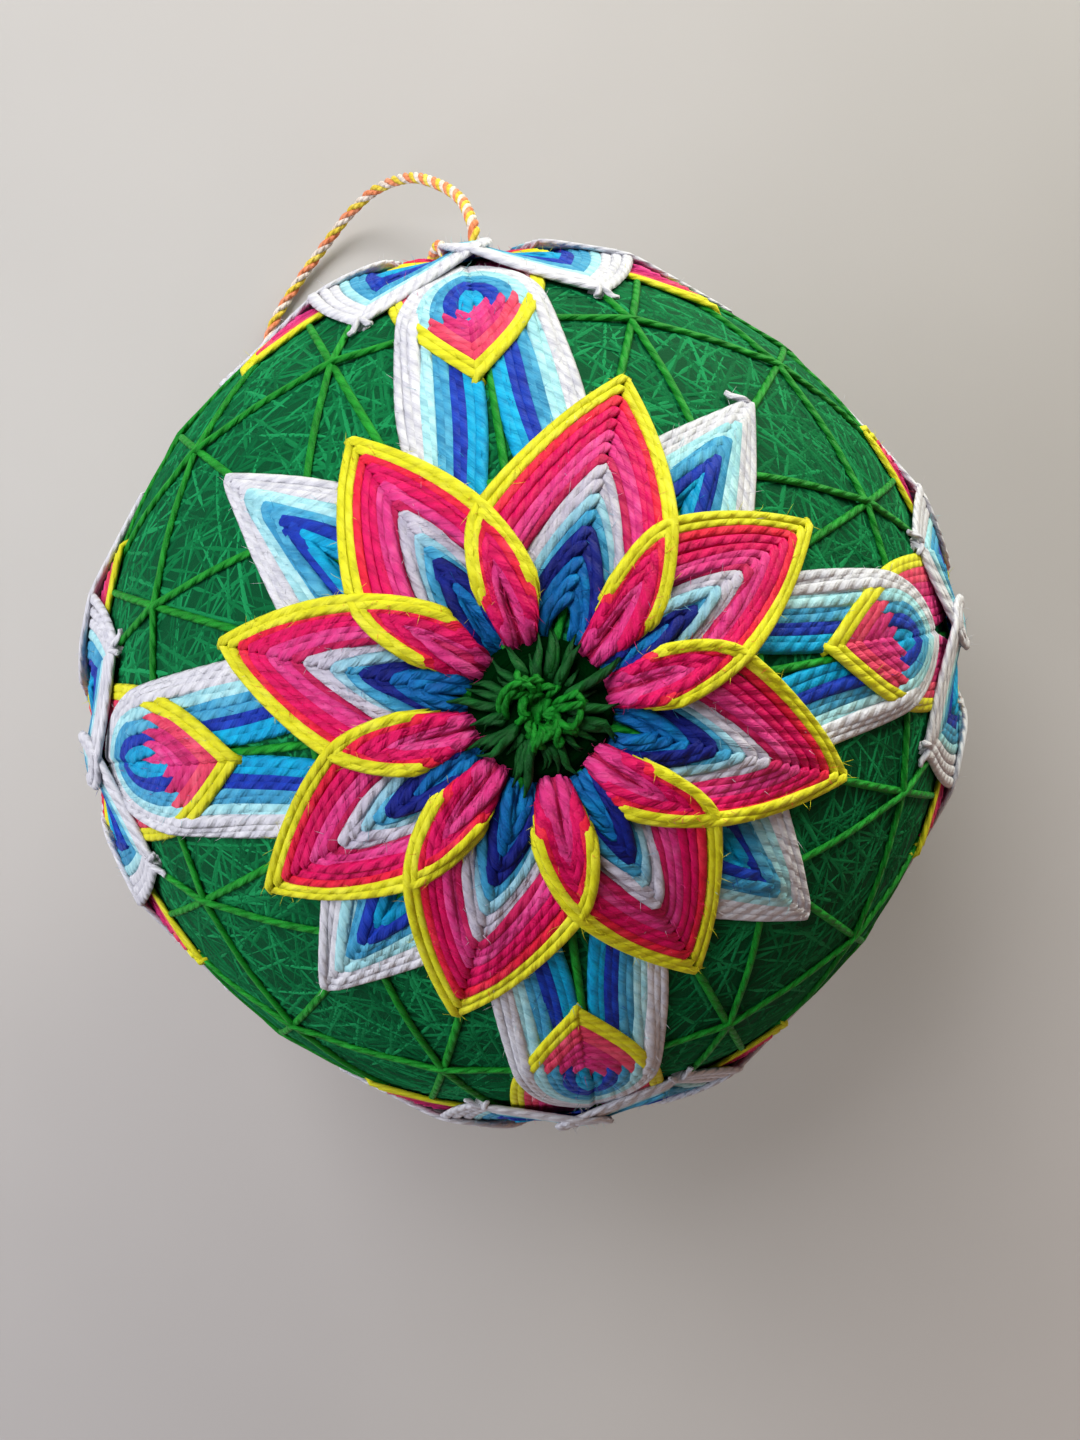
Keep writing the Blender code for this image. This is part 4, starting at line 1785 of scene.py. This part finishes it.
@dataclass
class Studio:
    """The pale floor, the lights and the camera. Sizes of the floor are metres."""

    floor_size: float = 3.0
    floor_tones: tuple[tuple[float, float, float], ...] = ((0.42, 0.41, 0.405), (0.48, 0.47, 0.465))
    sky_colour: tuple[float, float, float] = (1.0, 0.92, 0.84)
    sky_strength: float = 0.1
    focal_length: float = 27.22
    camera_place: tuple[float, float, float] = (-2.315, 4.462, 171.67)
    camera_turn: tuple[float, float, float] = (-3.468, -2.066, -8.506)

    def add_floor(self) -> None:
        """Adds a plain pale floor under the ball."""
        half = self.floor_size / 2.0
        corners = [(-half, -half, 0.0), (half, -half, 0.0), (half, half, 0.0), (-half, half, 0.0)]
        mesh = bpy.data.meshes.new("floor")
        mesh.from_pydata(corners, [], [(0, 1, 2, 3)])
        nodes = Nodes("pale_floor")
        mottle = nodes.noise(nodes.add("TexCoord").outputs["Object"], 14.0, 3.0)
        tone = nodes.mix(mottle, *self.floor_tones)
        mesh.materials.append(nodes.finish({"Base Color": tone, "Roughness": 0.85}))
        floor = bpy.data.objects.new("floor", mesh)
        bpy.context.scene.collection.objects.link(floor)

    def add_lamp(self, lamp: Lamp) -> None:
        """Adds a lamp that faces the ball.

        Args:
            lamp: the lamp.
        """
        light = bpy.data.lights.new(lamp.name, "AREA")
        light.size, light.energy, light.color = lamp.side, lamp.power, lamp.colour
        made = bpy.data.objects.new(lamp.name, light)
        made.location = lamp.place
        toward = Vector(BALL_CENTRE * MM) - made.location
        made.rotation_euler = toward.to_track_quat("-Z", "Y").to_euler()
        bpy.context.scene.collection.objects.link(made)

    def add_camera(self) -> None:
        """Adds the camera over the ball at the photograph's place and angle."""
        lens = bpy.data.cameras.new("camera")
        lens.lens = self.focal_length
        lens.clip_start = 0.005
        camera = bpy.data.objects.new("camera", lens)
        camera.location = Vector(self.camera_place) * MM
        camera.rotation_euler = Euler([math.radians(angle) for angle in self.camera_turn])
        bpy.context.scene.collection.objects.link(camera)
        bpy.context.scene.camera = camera

    def build(self) -> None:
        """Sets up the floor, the lamps, an even sky and the camera."""
        self.add_floor()
        for lamp in LAMPS:
            self.add_lamp(lamp)
        world = bpy.data.worlds.new("soft_sky")
        world.use_nodes = True
        sky = world.node_tree.nodes["Background"]
        sky.inputs["Color"].default_value = (*self.sky_colour, 1.0)
        sky.inputs["Strength"].default_value = self.sky_strength
        bpy.context.scene.world = world
        bpy.context.scene.view_settings.view_transform = "Standard"
        self.add_camera()


def rows_of(*counts: tuple[ThreadFinish, int]) -> tuple[ThreadFinish, ...]:
    """A layer's dyes row by row, from pairs of a dye and its number of rows."""
    return tuple(dye for dye, count in counts for _ in range(count))


BLUE_ROWS = rows_of((TURQUOISE, 2), (ROYAL, 2), (SKY, 2), (AQUA, 2), (WHITE, 3))
PINK_ROWS = rows_of((LIGHT_PINK, 4), (CERISE, 2), (BLUSH, 2), (YELLOW, 2))
FRONT_UPPER_BLUES = rows_of((SHADED_AZURE, 3), (SHADED_NAVY, 2), (SKY, 1), (MIST, 1), (PALE, 2))
FRONT_UPPER_PINKS = rows_of((ROSE, 1), (LIGHT_PINK, 2), (CRIMSON, 2), (CORAL, 1), (YELLOW, 2))
FRONT_UPPER_ROWS = FRONT_UPPER_BLUES + FRONT_UPPER_PINKS
SIDE_UPPER_PINKS = rows_of((LIGHT_PINK, 2), (CRIMSON, 2), (CORAL, 2), (YELLOW, 2))
SIDE_UPPER_BLUES = rows_of((TURQUOISE, 2), (ROYAL, 2), (SKY, 2), (AQUA, 1), (WHITE, 3))
SIDE_UPPER_ROWS = SIDE_UPPER_PINKS + SIDE_UPPER_BLUES

# The front flower as its maker's hand left it. Columns of a petal: azimuth off the even division,
# polar angle of the tip. Columns of a bundle: azimuth off the even division at its outer end and
# at its inner end, polar angle where its last threads cross.
FRONT_UPPER_PETALS = (
    (4.3, 34.2),
    (2.9, 34.3),
    (3.5, 35.5),
    (-0.7, 35.0),
    (0.0, 33.6),
    (0.9, 34.3),
    (2.7, 35.5),
    (-1.1, 36.4),
)
FRONT_BUNDLES = (
    (8.5, 7.1, 19.4),
    (6.4, 1.5, 19.8),
    (3.3, 6.4, 20.0),
    (-0.4, -2.2, 20.3),
    (2.2, 1.0, 19.8),
    (3.9, -4.9, 19.5),
    (6.4, 6.1, 19.8),
    (1.1, -6.2, 20.9),
)
# Columns: azimuth off the even division, tip of the first row, tip of the last row, half width of
# the first row, half width of the last row. Long and short petals take turns.
FRONT_LOWER_PETALS = (
    (0.3, 49.8, 61.5, 1.2, 9.6),
    (0.6, 28.0, 43.7, 0.0, 0.0),
    (0.0, 51.0, 61.0, 1.2, 9.2),
    (-0.2, 26.6, 40.4, 0.0, 0.0),
    (0.0, 49.0, 60.0, 1.2, 9.2),
    (-1.5, 26.0, 39.4, 0.0, 0.0),
    (1.0, 44.7, 54.4, 1.2, 9.0),
    (1.1, 27.4, 41.7, 0.0, 0.0),
)


class NearSide(NamedTuple):
    """What the half of a side flower toward the front flower shows.

    The lower layer's long petal: azimuth and last tip. The upper layer's petals after and before
    it: azimuth off the even division, and last tip. The bundle between those two: azimuth and
    reach. The lower layer's short petals after and before the long one: last tip.
    """

    long_turn: float
    long_tip: float
    upper_after: tuple[float, float]
    upper_before: tuple[float, float]
    bundle_turn: float
    bundle_reach: float
    short_after: float
    short_before: float


NEAR_SIDES = {
    TOP: NearSide(-1.2, 54.6, (-0.4, 40.5), (2.6, 40.2), 1.2, 27.0, 43.3, 41.8),
    LEFT: NearSide(-0.8, 57.9, (-0.3, 36.6), (2.2, 37.2), 0.8, 30.0, 37.8, 39.3),
    RIGHT: NearSide(-1.5, 58.8, (-3.7, 41.0), (2.7, 35.0), -2.8, 30.5, 40.1, 39.2),
    BOTTOM: NearSide(1.0, 56.7, (1.0, 35.0), (3.2, 34.0), 3.0, 29.8, 40.6, 38.0),
}

# Loose ends at the side flowers' near tips, and the one that shows at the front.
SIDE_TAILS = (Tail(0, 35.0, 2.7), Tail(0, -40.0, 2.1), Tail(7, 50.0, 2.2), Tail(7, -20.0, 2.9))
FRONT_TAILS = (Tail(7, 95.0, 3.0),)


class UsualPetal(NamedTuple):
    """A usual lower petal: last tip, its spread, how far in the first tip lies, and half widths."""

    tip: float
    spread: float
    depth: float
    inner_width: float = 0.0
    outer_width: float = 0.0


# The usual long and short petals of the front and back flowers, and of the side flowers.
END_PETALS = (UsualPetal(60.0, 1.5, 11.0, 1.2, 9.2), UsualPetal(42.0, 1.2, 14.2))
SIDE_PETALS = (UsualPetal(57.4, 0.7, 11.6, 1.3, 9.4), UsualPetal(41.0, 1.2, 14.2))
# The upper layers' usual tip and bundle reach, and the tip of their first row.
END_UPPER = (35.0, 20.0)
SIDE_UPPER = (38.8, 27.8)
UPPER_INNER_TIP = 10.9
# How uneven the hand is: a short petal's azimuth, an upper petal's azimuth and tip, and a bundle's
# outer azimuth, inner azimuth and reach.
SHORT_SPREAD = 1.0
UPPER_SPREADS = (1.6, 0.6)
BUNDLE_SPREADS = (2.2, 3.5, 0.4)

# First seeds of the lower layers, the upper layers and the centre stitches.
LOWER_SEED = 100
UPPER_SEED = 200
CENTRE_SEED = 300


def lower_petals(pole: Pole, seed: int) -> tuple[Petal, ...]:
    """The lower layer's petals: as seen where the photograph shows them, and uneven elsewhere.

    Args:
        pole: the pole.
        seed: for the unevenness.

    Returns:
        The petals by number.
    """
    if pole is FRONT:
        rows = enumerate(FRONT_LOWER_PETALS)
        return tuple(Petal(PITCH * number + turn, *sizes) for number, (turn, *sizes) in rows)
    random = np.random.default_rng(seed)
    near = NEAR_SIDES.get(pole)
    petals = []
    for number in range(PETALS):
        shift = uneven(random, SHORT_SPREAD)
        usual = (SIDE_PETALS if near else END_PETALS)[number % 2]
        last = uneven(random, usual.spread, usual.tip)
        turn = shift if number % 2 else 0.0
        if near and number == 0:
            turn, last = near.long_turn, near.long_tip
        elif near and number in (1, PETALS - 1):
            last = near.short_after if number == 1 else near.short_before
        widths = (usual.inner_width, usual.outer_width)
        petals.append(Petal(PITCH * number + turn, last - usual.depth, last, *widths))
    return tuple(petals)


def lower_flower(pole: Pole, seed: int) -> LowerFlower:
    """The lower layer at a pole, not yet stitched.

    Args:
        pole: the pole.
        seed: for the unevenness and the threads.

    Returns:
        The layer.
    """
    ends = pole in (FRONT, BACK)
    return LowerFlower(
        pole,
        seed,
        BLUE_ROWS if ends else PINK_ROWS,
        lower_petals(pole, seed),
        Slot.BLUE if ends else Slot.PINK,
        outer_notch=23.4 if ends else 26.0,
        arch=0.8 if ends else 1.06,
        arch_power=0.66 if ends else 1.0,
        tails=FRONT_TAILS if pole is FRONT else (),
        hairs=1100 if pole is FRONT else 300,
    )


def upper_rows(pole: Pole, seed: int) -> tuple[Sequence[tuple], Sequence[tuple]]:
    """The upper layer's petals and bundles: as seen, or uneven where the photograph hides them.

    Args:
        pole: the pole.
        seed: for the unevenness.

    Returns:
        Rows with the columns of FRONT_UPPER_PETALS, and rows with those of FRONT_BUNDLES.
    """
    if pole is FRONT:
        return FRONT_UPPER_PETALS, FRONT_BUNDLES
    random = np.random.default_rng(seed)
    near = NEAR_SIDES.get(pole)
    tip, reach = SIDE_UPPER if near else END_UPPER
    petals, bundles = (
        [tuple(uneven(random, *pair) for pair in zip(spreads, middles)) for _ in range(PETALS)]
        for spreads, middles in ((UPPER_SPREADS, (0.0, tip)), (BUNDLE_SPREADS, (0.0, 0.0, reach)))
    )
    if near:
        petals[0], petals[-1] = near.upper_after, near.upper_before
        bundles[0] = (near.bundle_turn, near.bundle_turn, near.bundle_reach)
    return petals, bundles


def upper_flower(pole: Pole, seed: int) -> UpperFlower:
    """The upper layer at a pole, not yet stitched.

    Args:
        pole: the pole.
        seed: for the unevenness and the threads.

    Returns:
        The layer.
    """
    ends = pole in (FRONT, BACK)
    petal_rows, bundle_rows = upper_rows(pole, seed)
    petals = tuple(
        Petal(PITCH * number + PITCH / 2.0 + shift, UPPER_INNER_TIP, tip)
        for number, (shift, tip) in enumerate(petal_rows)
    )
    bundles = tuple(
        Bundle(PITCH * number + outer, PITCH * number + inner, reach)
        for number, (outer, inner, reach) in enumerate(bundle_rows)
    )
    return UpperFlower(
        pole,
        seed,
        FRONT_UPPER_ROWS if ends else SIDE_UPPER_ROWS,
        petals,
        Slot.PINK if ends else Slot.BLUE,
        thread=RAISED if ends else WIDE_RAISED,
        edge_thread=RAISED_EDGE if ends else WIDE_RAISED_EDGE,
        bundles=bundles,
        crowding=1.0 if ends else 0.8,
        tails=() if ends else SIDE_TAILS,
        hairs=2200 if pole is FRONT else 400,
    )


def stitch_in_turn(flowers: Sequence[Flower], relief: Relief) -> None:
    """Stitches two rows of every flower before the next two, so that meeting petals weave.

    Args:
        flowers: one layer of each flower.
        relief: the map of what has been laid.
    """
    rows = max(len(flower.dyes) for flower in flowers)
    for first in range(0, rows, 2):
        for flower in flowers:
            for row in range(first, min(first + 2, len(flower.dyes))):
                flower.stitch(row, relief)
    for flower in flowers:
        flower.add_tails(relief)
        flower.dress()


def record_sizes() -> None:
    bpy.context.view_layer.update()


def main() -> None:
    """Builds the studio, and then the whole ball in the order in which it is wound and stitched."""
    logging.basicConfig(level=logging.INFO, format="%(message)s")
    Studio().build()
    HangingLoop().build()
    WoundBall().build()
    relief = Relief()
    MarkingLines().build(relief)
    stitch_in_turn([lower_flower(pole, LOWER_SEED + k) for k, pole in enumerate(POLES)], relief)
    upper_layer = [upper_flower(pole, UPPER_SEED + k) for k, pole in enumerate(POLES)]
    stitch_in_turn(upper_layer, relief)
    for k, flower in enumerate(upper_layer):
        CentreStitches(flower.pole, CENTRE_SEED + k, flower.bundles).build(relief)
    LOG.info("highest thread: %.2f mm over the ball", float(relief.heights.max()))
    record_sizes()


if __name__ == "__main__":
    main()
